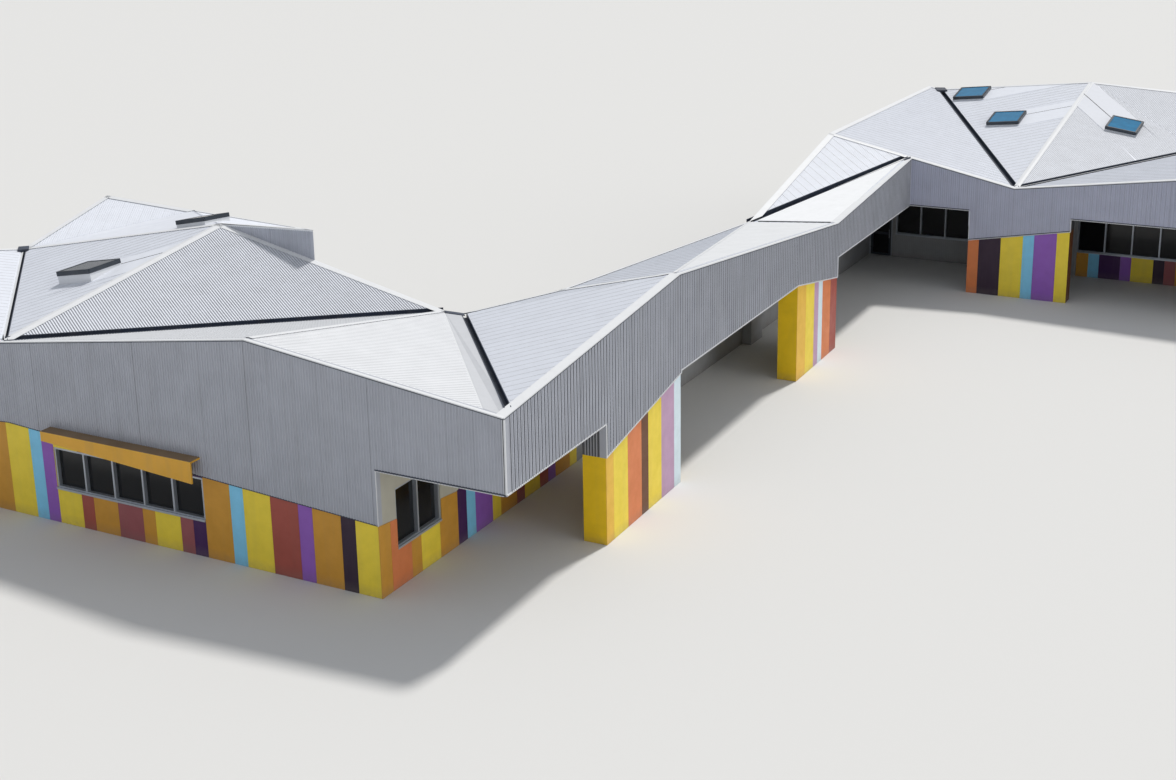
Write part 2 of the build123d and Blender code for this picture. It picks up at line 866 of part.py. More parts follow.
with BuildPart() as door_leaf:
    with BuildSketch(door_plane) as outline:
        with Locations((leaf_left + leaf_width / 2, leaf_low + leaf_height / 2)):
            Rectangle(leaf_width, leaf_height)
        for middle, height in panes_at:
            with Locations((leaf_left + leaf_width / 2, middle)):
                Rectangle(pane_width_door, height, mode=Mode.SUBTRACT)
    extrude(amount=-door_leaf_depth)
    for height in hinge_heights:
        hinge_plate_at(hinge_x, height, hinge_height)
        hinge_round(height, hinge_height, hinge_radius, hinge_pin_radius + hinge_fit)
keep(door_leaf, "door_leaf")

# The frame carries a knuckle above and below each leaf knuckle, and the pin through it
with BuildPart() as door_frame:
    with BuildSketch(door_plane) as outline:
        with Locations((door_opening / 2, (door_height + door_frame_bar) / 2)):
            Rectangle(door_opening, door_height + door_frame_bar)
        with Locations((door_opening / 2, door_height / 2)):
            Rectangle(door_opening - 2 * door_frame_bar, door_height, mode=Mode.SUBTRACT)
    extrude(amount=-frame_depth)
    for height in hinge_heights:
        for step in (-1, 1):
            knuckle = height + step * (hinge_height + hinge_play)
            hinge_plate_at(hinge_x - hinge_plate, knuckle, hinge_height)
            hinge_round(knuckle, hinge_height, hinge_radius)
        hinge_round(height, hinge_height + 2 * hinge_play, hinge_pin_radius)
keep(door_frame, "door_frame")

with BuildPart() as door_glass:
    with BuildSketch(door_plane.offset(-(door_leaf_depth - glass_depth) / 2)) as outline:
        for middle, height in panes_at:
            with Locations((leaf_left + leaf_width / 2, middle)):
                Rectangle(pane_width_door, height)
    extrude(amount=-glass_depth)
keep(door_glass, "door_glass")

# Roof windows: plane of the glass, width and length; their kerbs go down through the roof
skylight_list = [
    (tilted_window(-14.26 * M, 5.15 * M, 5.97 * M, 0.172, 0.02), 1.39 * M, 1.34 * M),
    (tilted_window(-13.50 * M, 9.65 * M, 6.64 * M, 0.20, -0.08), 1.25 * M, 1.20 * M),
    (panel_window(right_panels[1], (0.18, 0.73)), 1.45 * M, 1.60 * M),
    (panel_window(right_panels[1], (0.26, 0.36)), 1.45 * M, 1.60 * M),
    (panel_window(right_panels[2], (0.43, 0.39)), 1.35 * M, 1.60 * M),
]


def cut_roof_windows():
    """Cut the holes that the kerbs of the roof windows fill."""
    for plane, width, length in skylight_list:
        with BuildSketch(plane) as outline:
            Rectangle(width, length)
        extrude(outline.sketch, amount=-skylight_kerb, mode=Mode.SUBTRACT)


with BuildPart() as skylight_frames:
    for plane, width, length in skylight_list:
        with BuildSketch(plane) as outline:
            Rectangle(width, length)
            Rectangle(width - 2 * skylight_frame, length - 2 * skylight_frame, mode=Mode.SUBTRACT)
        extrude(outline.sketch, amount=-skylight_kerb)
    add(under_roof.part, mode=Mode.SUBTRACT)
keep(skylight_frames, "skylight_frames")

with BuildPart() as skylight_glass:
    for plane, width, length in skylight_list:
        with BuildSketch(plane) as outline:
            Rectangle(width, length)
        extrude(outline.sketch, amount=glass_depth)
keep(skylight_glass, "skylight_glass")

# Box gutters in the valleys
gutter_lines = [
    (left_low, sump_left, gutter_width),
    (left_low, west_corner, narrow_gutter_width),
    (sump_left, sump_right, gutter_width),
    (sump_right, corner_gutter, narrow_gutter_width),
    (eave_low, meeting_in, gutter_width),
    (low_in, valley_rear, valley_gutter_width),
    (low_in, valley_turn, gutter_width),
    (valley_turn, valley_side, gutter_width),
]
all_panels = {
    "roof_front_strip": [left_front_panels[0]],
    "roof_front_corner": left_front_panels[1:],
    "roof_pyramid_front": [left_pyramid[0]],
    "roof_pyramid_west": [left_pyramid[1]],
    "roof_left_end": left_end_panels,
    "roof_rear": rear_panels,
    "roof_walk_front": walk_panels[:2],
    "roof_walk_middle": walk_panels[2:4],
    "roof_walk_rear": walk_panels[4:],
    "roof_right_west": [right_panels[0]],
    "roof_right_valley": [right_panels[1]],
    "roof_right_hip": right_panels[2:4],
    "roof_right_front": right_panels[4:6],
    "roof_right_corner": right_panels[6:],
}
for name, panels in all_panels.items():
    with BuildPart() as roof_piece:
        for points in panels:
            facet(points, roof_depth)
        cut_roof_windows()
        for start, end, width in gutter_lines:
            trench(start, end, width)
    keep(roof_piece, name)

with BuildPart() as box_gutters:
    for start, end, width in gutter_lines:
        channel(start, end, width)
    add(whole_roof.part, mode=Mode.INTERSECT)
keep(box_gutters, "box_gutters")
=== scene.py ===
"""Looks of a half-size model of a school building with folded metal roofs and coloured board walls."""

from __future__ import annotations

import json
import logging
import math
from dataclasses import dataclass, field
from enum import Enum

import bpy
import numpy as np
from mathutils import Matrix, Vector

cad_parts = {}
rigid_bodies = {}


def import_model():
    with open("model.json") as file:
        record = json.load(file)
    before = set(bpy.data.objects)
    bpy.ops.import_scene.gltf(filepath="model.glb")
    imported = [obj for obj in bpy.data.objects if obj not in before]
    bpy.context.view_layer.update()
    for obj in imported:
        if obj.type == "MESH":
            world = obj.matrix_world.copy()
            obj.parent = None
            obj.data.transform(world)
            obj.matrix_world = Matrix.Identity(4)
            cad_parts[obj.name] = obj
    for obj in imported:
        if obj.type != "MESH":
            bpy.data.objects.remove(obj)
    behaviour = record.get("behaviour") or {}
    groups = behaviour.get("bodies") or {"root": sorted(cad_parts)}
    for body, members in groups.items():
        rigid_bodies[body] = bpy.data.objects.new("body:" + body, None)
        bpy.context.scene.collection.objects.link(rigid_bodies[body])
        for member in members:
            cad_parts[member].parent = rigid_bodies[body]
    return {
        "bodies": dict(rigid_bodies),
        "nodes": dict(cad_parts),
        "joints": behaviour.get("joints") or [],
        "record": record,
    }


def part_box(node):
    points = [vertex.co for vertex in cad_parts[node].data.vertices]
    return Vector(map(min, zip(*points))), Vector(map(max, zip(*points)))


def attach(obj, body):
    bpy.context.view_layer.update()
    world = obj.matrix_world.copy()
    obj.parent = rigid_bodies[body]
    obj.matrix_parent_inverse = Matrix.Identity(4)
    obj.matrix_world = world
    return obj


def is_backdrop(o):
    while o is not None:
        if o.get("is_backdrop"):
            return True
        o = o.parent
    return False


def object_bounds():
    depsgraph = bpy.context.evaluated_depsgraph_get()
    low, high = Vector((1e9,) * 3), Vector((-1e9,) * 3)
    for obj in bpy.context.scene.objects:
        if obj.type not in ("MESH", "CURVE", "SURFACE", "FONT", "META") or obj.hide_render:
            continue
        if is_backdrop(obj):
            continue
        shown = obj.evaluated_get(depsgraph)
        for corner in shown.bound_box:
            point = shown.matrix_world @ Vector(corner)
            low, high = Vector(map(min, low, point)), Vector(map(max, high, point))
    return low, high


Colour = tuple[float, float, float]
Place = tuple[float, float, float]
Span = tuple[float, float]
Material = bpy.types.Material
Socket = bpy.types.NodeSocket
Tree = bpy.types.NodeTree
Feed = dict[str | int, object]

LOG = logging.getLogger("school")

# Scale of the model, and where the real building's outer corner stands in it
REAL = 0.5
ORIGIN = (0.06, -0.06)

# Directions, with those of the walkway, which turns one degree
UP = Vector((0.0, 0.0, 1.0))
LEFT = Vector((-1.0, 0.0, 0.0))
RIGHT = Vector((1.0, 0.0, 0.0))
FRONT = Vector((0.0, -1.0, 0.0))
BACK = Vector((0.0, 1.0, 0.0))
LEAN = math.radians(1.0)
WALK_OUT = Vector((math.cos(LEAN), math.sin(LEAN), 0.0))
WALK_RUN = Vector((-math.sin(LEAN), math.cos(LEAN), 0.0))

# Places on the real building, in metres
WALK_CORNER = 3.78
FACADE_ROW = 34.35
ROOM_ROW = 38.90
BACK_ROW = 49.20
SOFFIT = 3.48
SILL = 1.07
FRONT_WINDOWS = ((-5.66, -11.06), (-15.34, -20.74))
SIDE_WINDOW = (0.80, 2.85)

# Least cosines between a face and the way it looks
SLOPING = 0.6
UPRIGHT = 0.98

# Depths and thicknesses over a face, in model metres
TINY = 1e-6
ROOT = 0.001
THIN_FILM = (0.001, 0.003)
SHEET = (0.001, 0.0065)
THIN_SHEET = (0.001, 0.0055)
SOFT_EDGE = 0.0015


def site(x: float, y: float, z: float) -> Vector:
    """Turn a place on the real building into the model's frame.

    Args:
        x: Real metres to the right of the front pavilion's outer corner.
        y: Real metres behind its front face.
        z: Real metres above the foot of the walls.

    Returns:
        The same place in model metres.
    """
    return Vector((x * REAL + ORIGIN[0], y * REAL + ORIGIN[1], z * REAL))


def on_walk(run: float, height: float) -> Vector:
    """Place on the walkway's outer face, from real metres along it and above its foot."""
    return site(WALK_CORNER, 0.0, 0.0) + WALK_RUN * run * REAL + UP * height * REAL


def dress(finish: str, *nodes: str) -> None:
    """Give CAD nodes their finish.

    Args:
        finish: Name of their new material.
        nodes: Names of the nodes.
    """
    for node in nodes:
        mesh = FRAME["nodes"][node].data
        mesh.materials.clear()
        mesh.materials.append(FRAME["finishes"][finish])
        LOG.info("%s: dressed in %s", node, finish)


class Paint(Enum):
    """Board colours of the walls, as linear values."""

    YELLOW = (0.99, 0.765, 0.055)
    GOLD = (0.98, 0.64, 0.004)
    AMBER = (0.92, 0.55, 0.05)
    ORANGE = (0.70, 0.34, 0.035)
    SALMON = (0.79, 0.235, 0.075)
    RED_BROWN = (0.42, 0.085, 0.06)
    MAUVE_RED = (0.36, 0.10, 0.11)
    MAROON = (0.15, 0.045, 0.008)
    DARK_PURPLE = (0.055, 0.006, 0.10)
    AUBERGINE = (0.030, 0.010, 0.034)
    PURPLE = (0.32, 0.12, 0.56)
    LILAC = (0.58, 0.36, 0.54)
    LIGHT_BLUE = (0.26, 0.70, 1.0)
    PALE_BLUE = (0.78, 0.92, 1.0)

    def finish(self) -> str:
        """Name of the finish in this colour."""
        return f"board_{self.name.lower()}"


@dataclass(frozen=True)
class Facet:
    """One flat face of a CAD node, kept as its triangles."""

    normal: np.ndarray
    triangles: np.ndarray

    def area(self) -> float:
        """Area of the face in square metres."""
        edges = self.triangles[:, 1:] - self.triangles[:, :1]
        return float(np.linalg.norm(np.cross(edges[:, 0], edges[:, 1]), axis=1).sum() / 2)

    def depth(self) -> float:
        """Distance of the face's plane from the origin."""
        return float(self.triangles[0, 0] @ self.normal)

    def fall(self) -> np.ndarray:
        """Find the direction in plan that water runs off the face.

        Returns:
            A unit direction, which is to the right where the face is level.
        """
        flat = np.array([self.normal[0], self.normal[1], 0.0])
        length = np.linalg.norm(flat)
        return flat / length if length > TINY else np.array(RIGHT)


def flat_faces(node: str, facing: Vector, reach: float, least: float = 0.02) -> list[Facet]:
    """Collect the flat faces of a CAD node that look one way.

    Args:
        node: Name of the CAD node.
        facing: Direction that the faces look to.
        reach: Least cosine between a face and that direction.
        least: Smallest area that counts, in square metres.

    Returns:
        The faces, largest first.
    """
    mesh = FRAME["nodes"][node].data
    mesh.calc_loop_triangles()
    points = np.array([vertex.co for vertex in mesh.vertices], float)
    corners = points[np.array([tri.vertices for tri in mesh.loop_triangles], int)]
    normals = np.cross(corners[:, 1] - corners[:, 0], corners[:, 2] - corners[:, 0])
    sizes = np.linalg.norm(normals, axis=1)
    kept = sizes > 1e-10
    normals = normals[kept] / sizes[kept, None]
    look = np.array(facing.normalized())
    same_way, same_depth = 0.99995, 0.001
    groups: list[tuple[np.ndarray, float, list[np.ndarray]]] = []
    for corner, normal in zip(corners[kept], normals):
        if normal @ look < reach:
            continue
        depth = float(corner[0] @ normal)
        for known, known_depth, members in groups:
            if known @ normal > same_way and abs(known_depth - depth) < same_depth:
                members.append(corner)
                break
        else:
            groups.append((normal, depth, [corner]))
    facets = [Facet(normal, np.array(members)) for normal, _, members in groups]
    return sorted((facet for facet in facets if facet.area() >= least), key=lambda facet: -facet.area())


@dataclass
class Laying:
    """Lays strips over a flat face along one direction."""

    facet: Facet
    plan: np.ndarray
    join: float = 0.001
    overlap: float = 0.004

    def __post_init__(self) -> None:
        """Work out the strip and cross directions in the face."""
        normal, plan = self.facet.normal, self.plan
        direction = plan - normal * float(plan @ normal)
        level_plan_on_slope = abs(normal[2]) > 0.3 and abs(plan[2]) < TINY
        if level_plan_on_slope:
            direction = np.array([plan[0], plan[1], -(normal[0] * plan[0] + normal[1] * plan[1]) / normal[2]])
        self.along = direction / np.linalg.norm(direction)
        self.across = np.cross(normal, self.along)
        self.level = self.facet.depth()

    def reach(self) -> Span:
        """Lowest and highest cross position of the face."""
        values = self.facet.triangles @ self.across
        return float(values.min()), float(values.max())

    def spans(self, value: float) -> list[Span]:
        """Find the stretches of the face that a line at one cross position covers.

        Args:
            value: Cross position of the line.

        Returns:
            Start and end of each stretch, in order.
        """
        found: list[Span] = []
        for triangle in self.facet.triangles:
            side = triangle @ self.across - value
            run = triangle @ self.along
            hits = []
            for one, two in ((0, 1), (1, 2), (2, 0)):
                if (side[one] > 0) != (side[two] > 0):
                    share = side[one] / (side[one] - side[two])
                    hits.append(run[one] + share * (run[two] - run[one]))
            if len(hits) == 2 and abs(hits[0] - hits[1]) > TINY:
                found.append((min(hits), max(hits)))
        merged: list[Span] = []
        for low, high in sorted(found):
            if merged and low <= merged[-1][1] + self.join:
                merged[-1] = (merged[-1][0], max(merged[-1][1], high))
            else:
                merged.append((low, high))
        return merged

    def point(self, value: float, run: float, lift: float) -> Vector:
        """Place at a cross position and a position along the strip, lifted off the face."""
        return Vector(self.across * value + self.along * run + self.facet.normal * (self.level + lift))

    def pairs(self, low: float, high: float) -> list[tuple[Span, Span]]:
        """Match the stretches on both sides of a strip.

        Args:
            low: Cross position of one side.
            high: Cross position of the other side.

        Returns:
            Pairs of stretches that lie beside each other.
        """
        matched = []
        others = self.spans(high)
        for one in self.spans(low):
            beside = [two for two in others if min(one[1], two[1]) - max(one[0], two[0]) > self.overlap]
            matched += [(one, two) for two in beside[:1]]
        return matched


@dataclass
class MeshMaker:
    """Gathers simple solids into one mesh object."""

    name: str
    points: list[Vector] = field(default_factory=list)
    faces: list[tuple[int, ...]] = field(default_factory=list)
    slots: list[int] = field(default_factory=list)

    def loft(self, base: list[Vector], top: list[Vector], slot: int = 0) -> None:
        """Add a closed solid between two loops with the same number of points.

        Args:
            base: Loop at the back, seen anticlockwise from the front.
            top: Loop at the front.
            slot: Index of its material.
        """
        start, count = len(self.points), len(base)
        self.points += base + top
        self.faces.append(tuple(start + i for i in reversed(range(count))))
        self.faces.append(tuple(start + count + i for i in range(count)))
        for i in range(count):
            j = (i + 1) % count
            self.faces.append((start + i, start + j, start + count + j, start + count + i))
        self.slots += [slot] * (count + 2)

    def slab(self, loop: list[Vector], rise: Vector, low: float, high: float, slot: int = 0) -> None:
        """Add a flat loop, thickened between two heights.

        Args:
            loop: Its corners, in either order.
            rise: Direction of its thickness.
            low: Height of its back over the loop.
            high: Height of its front.
            slot: Index of its material.
        """
        if (loop[1] - loop[0]).cross(loop[-1] - loop[0]).dot(rise) < 0:
            loop = loop[::-1]
        back, front = ([point + rise * height for point in loop] for height in (low, high))
        self.loft(back, front, slot)

    def bar(self, start: Vector, end: Vector, side: Vector, lift: Vector, slot: int = 0) -> None:
        """Add a straight bar from one edge line, with its width and thickness as vectors.

        Args:
            start: One end of the edge line.
            end: Other end of the edge line.
            side: Vector across the bar's width.
            lift: Vector through its thickness.
            slot: Index of its material.
        """
        self.slab([start, end, end + side, start + side], lift, 0.0, 1.0, slot)

    def finish(self, finishes: list[str], slot: str, bevel: float = 0.0, body: str = "building") -> None:
        """Make the object within the CAD's own box, dress it and hang it on its body.

        Args:
            finishes: Names of its materials in slot order.
            slot: Name of the record's material slot; not used.
            bevel: Width of a rounded edge, or nothing.
            body: Name of the CAD body that carries it.
        """
        mesh = bpy.data.meshes.new(self.name)
        low, high = FRAME["box"]
        kept = [tuple(min(max(point[i], low[i]), high[i]) for i in range(3)) for point in self.points]
        mesh.from_pydata(kept, [], self.faces)
        for finish in finishes:
            mesh.materials.append(FRAME["finishes"][finish])
        mesh.polygons.foreach_set("material_index", self.slots)
        mesh.validate()
        mesh.update()
        piece = bpy.data.objects.new(self.name, mesh)
        bpy.context.scene.collection.objects.link(piece)
        if bevel:
            edge = piece.modifiers.new("soft_edge", "BEVEL")
            edge.width = bevel
            edge.segments = 2
            edge.limit_method = "ANGLE"
        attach(piece, body)
        LOG.info("%s: %d faces", self.name, len(self.faces))


class Nodes:
    """Short way to place and join shader nodes."""

    def __init__(self, tree: Tree) -> None:
        """Keep the tree that the nodes go into."""
        self.tree = tree

    def wire(self, node: bpy.types.Node, inputs: Feed) -> None:
        """Feed a node's inputs.

        Args:
            node: The node.
            inputs: Values or sockets for its inputs.
        """
        for name, value in inputs.items():
            if isinstance(value, Socket):
                self.tree.links.new(value, node.inputs[name])
            else:
                node.inputs[name].default_value = value

    def add(self, kind: str, inputs: Feed | None = None, **options: object) -> bpy.types.Node:
        """Place a node and feed its inputs.

        Args:
            kind: Name of the node's type.
            inputs: Values or sockets for its inputs.
            options: Settings of the node itself.

        Returns:
            The node.
        """
        node = self.tree.nodes.new(kind)
        for name, value in options.items():
            setattr(node, name, value)
        self.wire(node, inputs or {})
        return node

    def math(self, operation: str, one: object, two: object = 0.0) -> Socket:
        """Place a math node and give its result."""
        return self.add("ShaderNodeMath", {0: one, 1: two}, operation=operation).outputs[0]

    def ranged(self, value: Socket, **limits: object) -> Socket:
        """Stretch a value from its From range to its To range and give the result."""
        named = {name.replace("_", " "): limit for name, limit in limits.items()}
        return self.add("ShaderNodeMapRange", {"Value": value, **named}).outputs[0]

    def blend(self, factor: object, one: object, two: object) -> Socket:
        """Mix two colours and give the result."""
        return self.add("ShaderNodeMix", {"Factor": factor, 6: one, 7: two}, data_type="RGBA").outputs[2]

    def over(self, colour: Socket, mask: Socket, amount: float, tone: Colour) -> Socket:
        """Lay a tone over a colour where a mask shows, and give the result."""
        return self.blend(self.math("MULTIPLY", mask, amount), colour, (*tone, 1.0))

    def group(self, tree: Tree, **inputs: object) -> Socket:
        """Place a shader group and give its result."""
        return self.add("ShaderNodeGroup", inputs, node_tree=tree).outputs[0]

    def close(self, result: Socket) -> Tree:
        """Send a result to the group's output and give the group."""
        self.wire(self.add("NodeGroupOutput"), {0: result})
        return self.tree


class Effects:
    """Shared shader groups, each built once."""

    def __init__(self) -> None:
        """Build every group."""
        self.mottle = self.build_mottle()
        self.streaks = self.build_streaks()
        self.joints = self.build_joints()
        self.splash = self.build_splash()
        self.grain = self.build_grain()

    @staticmethod
    def start(name: str, output: str, **inputs: object) -> tuple[Nodes, bpy.types.NodeOutputs, Socket]:
        """Open a group with its sockets.

        Args:
            name: Name of the group.
            output: Name of its output, Mask or Normal.
            inputs: Names and first values of its inputs.

        Returns:
            The node helper, the group's given values and the place on the object.
        """
        tree = bpy.data.node_groups.new(name, "ShaderNodeTree")
        for title, value in inputs.items():
            kind = "NodeSocketFloat" if isinstance(value, float) else "NodeSocketVector"
            tree.interface.new_socket(title, in_out="INPUT", socket_type=kind).default_value = value
        kind = {"Mask": "NodeSocketFloat", "Normal": "NodeSocketVector"}[output]
        tree.interface.new_socket(output, in_out="OUTPUT", socket_type=kind)
        nodes = Nodes(tree)
        return nodes, nodes.add("NodeGroupInput").outputs, nodes.add("ShaderNodeTexCoord").outputs["Object"]

    def build_mottle(self) -> Tree:
        """Make soft uneven patches in a coat of paint.

        Returns:
            The group.
        """
        nodes, given, place = self.start("paint_mottle", "Mask", Scale=3.0, Detail=4.0)
        noise = nodes.add(
            "ShaderNodeTexNoise",
            {"Vector": place, "Scale": given["Scale"], "Detail": given["Detail"], "Roughness": 0.6},
        )
        return nodes.close(nodes.ranged(noise.outputs[0], From_Min=0.3, From_Max=0.7))

    def build_streaks(self) -> Tree:
        """Make the thin marks that rain leaves down a wall.

        Returns:
            The group.
        """
        nodes, given, place = self.start("rain_streaks", "Mask", Fineness=9.0, Length=0.5)
        parts = nodes.add("ShaderNodeSeparateXYZ", {0: place}).outputs
        scales = (given["Fineness"], given["Fineness"], given["Length"])
        drawn = [nodes.math("MULTIPLY", part, scale) for part, scale in zip(parts, scales)]
        spot = nodes.add("ShaderNodeCombineXYZ", dict(enumerate(drawn)))
        noise = nodes.add("ShaderNodeTexNoise", {"Vector": spot.outputs[0], "Scale": 1.0, "Detail": 5.0})
        return nodes.close(nodes.ranged(noise.outputs[0], From_Min=0.48, From_Max=0.78))

    def build_joints(self) -> Tree:
        """Make narrow lines where one sheet laps over the next.

        Returns:
            The group.
        """
        nodes, given, place = self.start("sheet_joints", "Mask", Run=(1.0, 0.0, 0.0), Pitch=0.38, Width=0.02)
        run = nodes.add("ShaderNodeVectorMath", {0: place, 1: given["Run"]}, operation="DOT_PRODUCT")
        share = nodes.math("FRACT", nodes.math("DIVIDE", run.outputs["Value"], given["Pitch"]))
        return nodes.close(nodes.math("LESS_THAN", share, given["Width"]))

    def build_splash(self) -> Tree:
        """Make the dirt that rain throws up against the foot of a wall.

        Returns:
            The group.
        """
        nodes, given, place = self.start("wall_foot_splash", "Mask", Height=0.16)
        tall = nodes.add("ShaderNodeSeparateXYZ", {0: place}).outputs[2]
        low = nodes.ranged(tall, From_Min=0.0, From_Max=given["Height"], To_Min=1.0, To_Max=0.0)
        noise = nodes.add("ShaderNodeTexNoise", {"Vector": place, "Scale": 14.0, "Detail": 6.0})
        return nodes.close(nodes.math("MULTIPLY", low, noise.outputs[0]))

    def build_grain(self) -> Tree:
        """Make the fine unevenness of a surface, as a normal.

        Returns:
            The group.
        """
        nodes, given, place = self.start("surface_grain", "Normal", Scale=60.0, Depth=0.001)
        noise = nodes.add("ShaderNodeTexNoise", {"Vector": place, "Scale": given["Scale"], "Detail": 6.0})
        feed = {"Height": noise.outputs[0], "Distance": given["Depth"], "Strength": 0.6}
        return nodes.close(nodes.add("ShaderNodeBump", feed).outputs[0])


@dataclass(frozen=True)
class Finish:
    """A named material with a colour of its own."""

    name: str
    colour: Colour

    def start(self) -> tuple[Material, Nodes, bpy.types.Node]:
        """Open the material.

        Returns:
            The material, its node helper and its main shader.
        """
        material = bpy.data.materials.new(self.name)
        material.use_nodes = True
        return material, Nodes(material.node_tree), material.node_tree.nodes["Principled BSDF"]

    def tint(self, share: float = 1.0) -> tuple[float, float, float, float]:
        """Give the colour, or a share of it, with full cover."""
        return (*(value * share for value in self.colour), 1.0)


@dataclass(frozen=True)
class Coat(Finish):
    """A painted, plastered or cast finish with its own wear."""

    roughness: float = 0.42
    metallic: float = 0.0
    patch: float = 0.03
    patch_scale: float = 2.5
    streak: float = 0.05
    streak_fineness: float = 9.0
    dirt: Colour = (0.20, 0.18, 0.16)
    splash: float = 0.0
    joint_run: Place | None = None
    joint_pitch: float = 0.38
    joint_width: float = 0.02
    joint_depth: float = 0.35
    joint_shade: float = 0.3
    grain_scale: float = 70.0
    grain_depth: float = 0.0008

    def build(self, effects: Effects) -> Material:
        """Make the material.

        Args:
            effects: The shared shader groups.

        Returns:
            A material with uneven colour, gloss and surface.
        """
        material, nodes, shader = self.start()
        patches = nodes.group(effects.mottle, Scale=self.patch_scale)
        colour = nodes.blend(patches, self.tint(1 - 2 * self.patch), self.tint())
        if self.streak:
            marks = nodes.group(effects.streaks, Fineness=self.streak_fineness)
            colour = nodes.over(colour, marks, self.streak, self.dirt)
        if self.joint_run:
            size = {"Pitch": self.joint_pitch, "Width": self.joint_width}
            seams = nodes.group(effects.joints, Run=self.joint_run, **size)
            colour = nodes.over(colour, seams, self.joint_depth, self.tint(self.joint_shade)[:3])
        if self.splash:
            colour = nodes.over(colour, nodes.group(effects.splash), self.splash, self.dirt)
        gloss = nodes.ranged(patches, To_Min=self.roughness + 0.10, To_Max=self.roughness - 0.04)
        grain = nodes.group(effects.grain, Scale=self.grain_scale, Depth=self.grain_depth)
        nodes.wire(shader, {"Base Color": colour, "Roughness": gloss, "Normal": grain})
        nodes.wire(shader, {"Metallic": self.metallic})
        return material


@dataclass(frozen=True)
class Glazing(Finish):
    """Tinted glass with a little dust."""

    clear: float
    shine: float
    roughness: float = 0.06

    def build(self, effects: Effects) -> Material:
        """Make the material.

        Args:
            effects: The shared shader groups.

        Returns:
            A glass material with faint dust.
        """
        material, nodes, shader = self.start()
        dust = nodes.group(effects.mottle, Scale=6.0)
        feed = {
            "Base Color": nodes.blend(dust, self.tint(), self.tint(0.75)),
            "Roughness": nodes.ranged(dust, To_Min=self.roughness, To_Max=self.roughness + 0.10),
            "Transmission Weight": self.clear,
            "Specular IOR Level": self.shine,
            "IOR": 1.5,
        }
        nodes.wire(shader, feed)
        return material


def cladding_coats(place: str, blue: Colour, run: Vector, flat: float, rib: float) -> list[Coat]:
    """Give the two finishes of one ribbed cladding.

    Args:
        place: Where the cladding is.
        blue: Colour of its sheet.
        run: Direction that its sheets are laid along.
        flat: Share of that colour on the flats; the walkway's smaller share is painted shade.
        rib: Share of it on the ribs, above the flats' share: painted highlight.

    Returns:
        The finishes of its flats and its ribs.
    """
    return [
        Coat(
            f"{place}_cladding_{part}", tuple(value * share for value in blue), roughness, patch=0.05,
            streak=streak, joint_run=tuple(run),
        )
        for part, share, roughness, streak in (("sheet", flat, 0.42, 0.10), ("rib", rib, 0.40, 0.12))
    ]


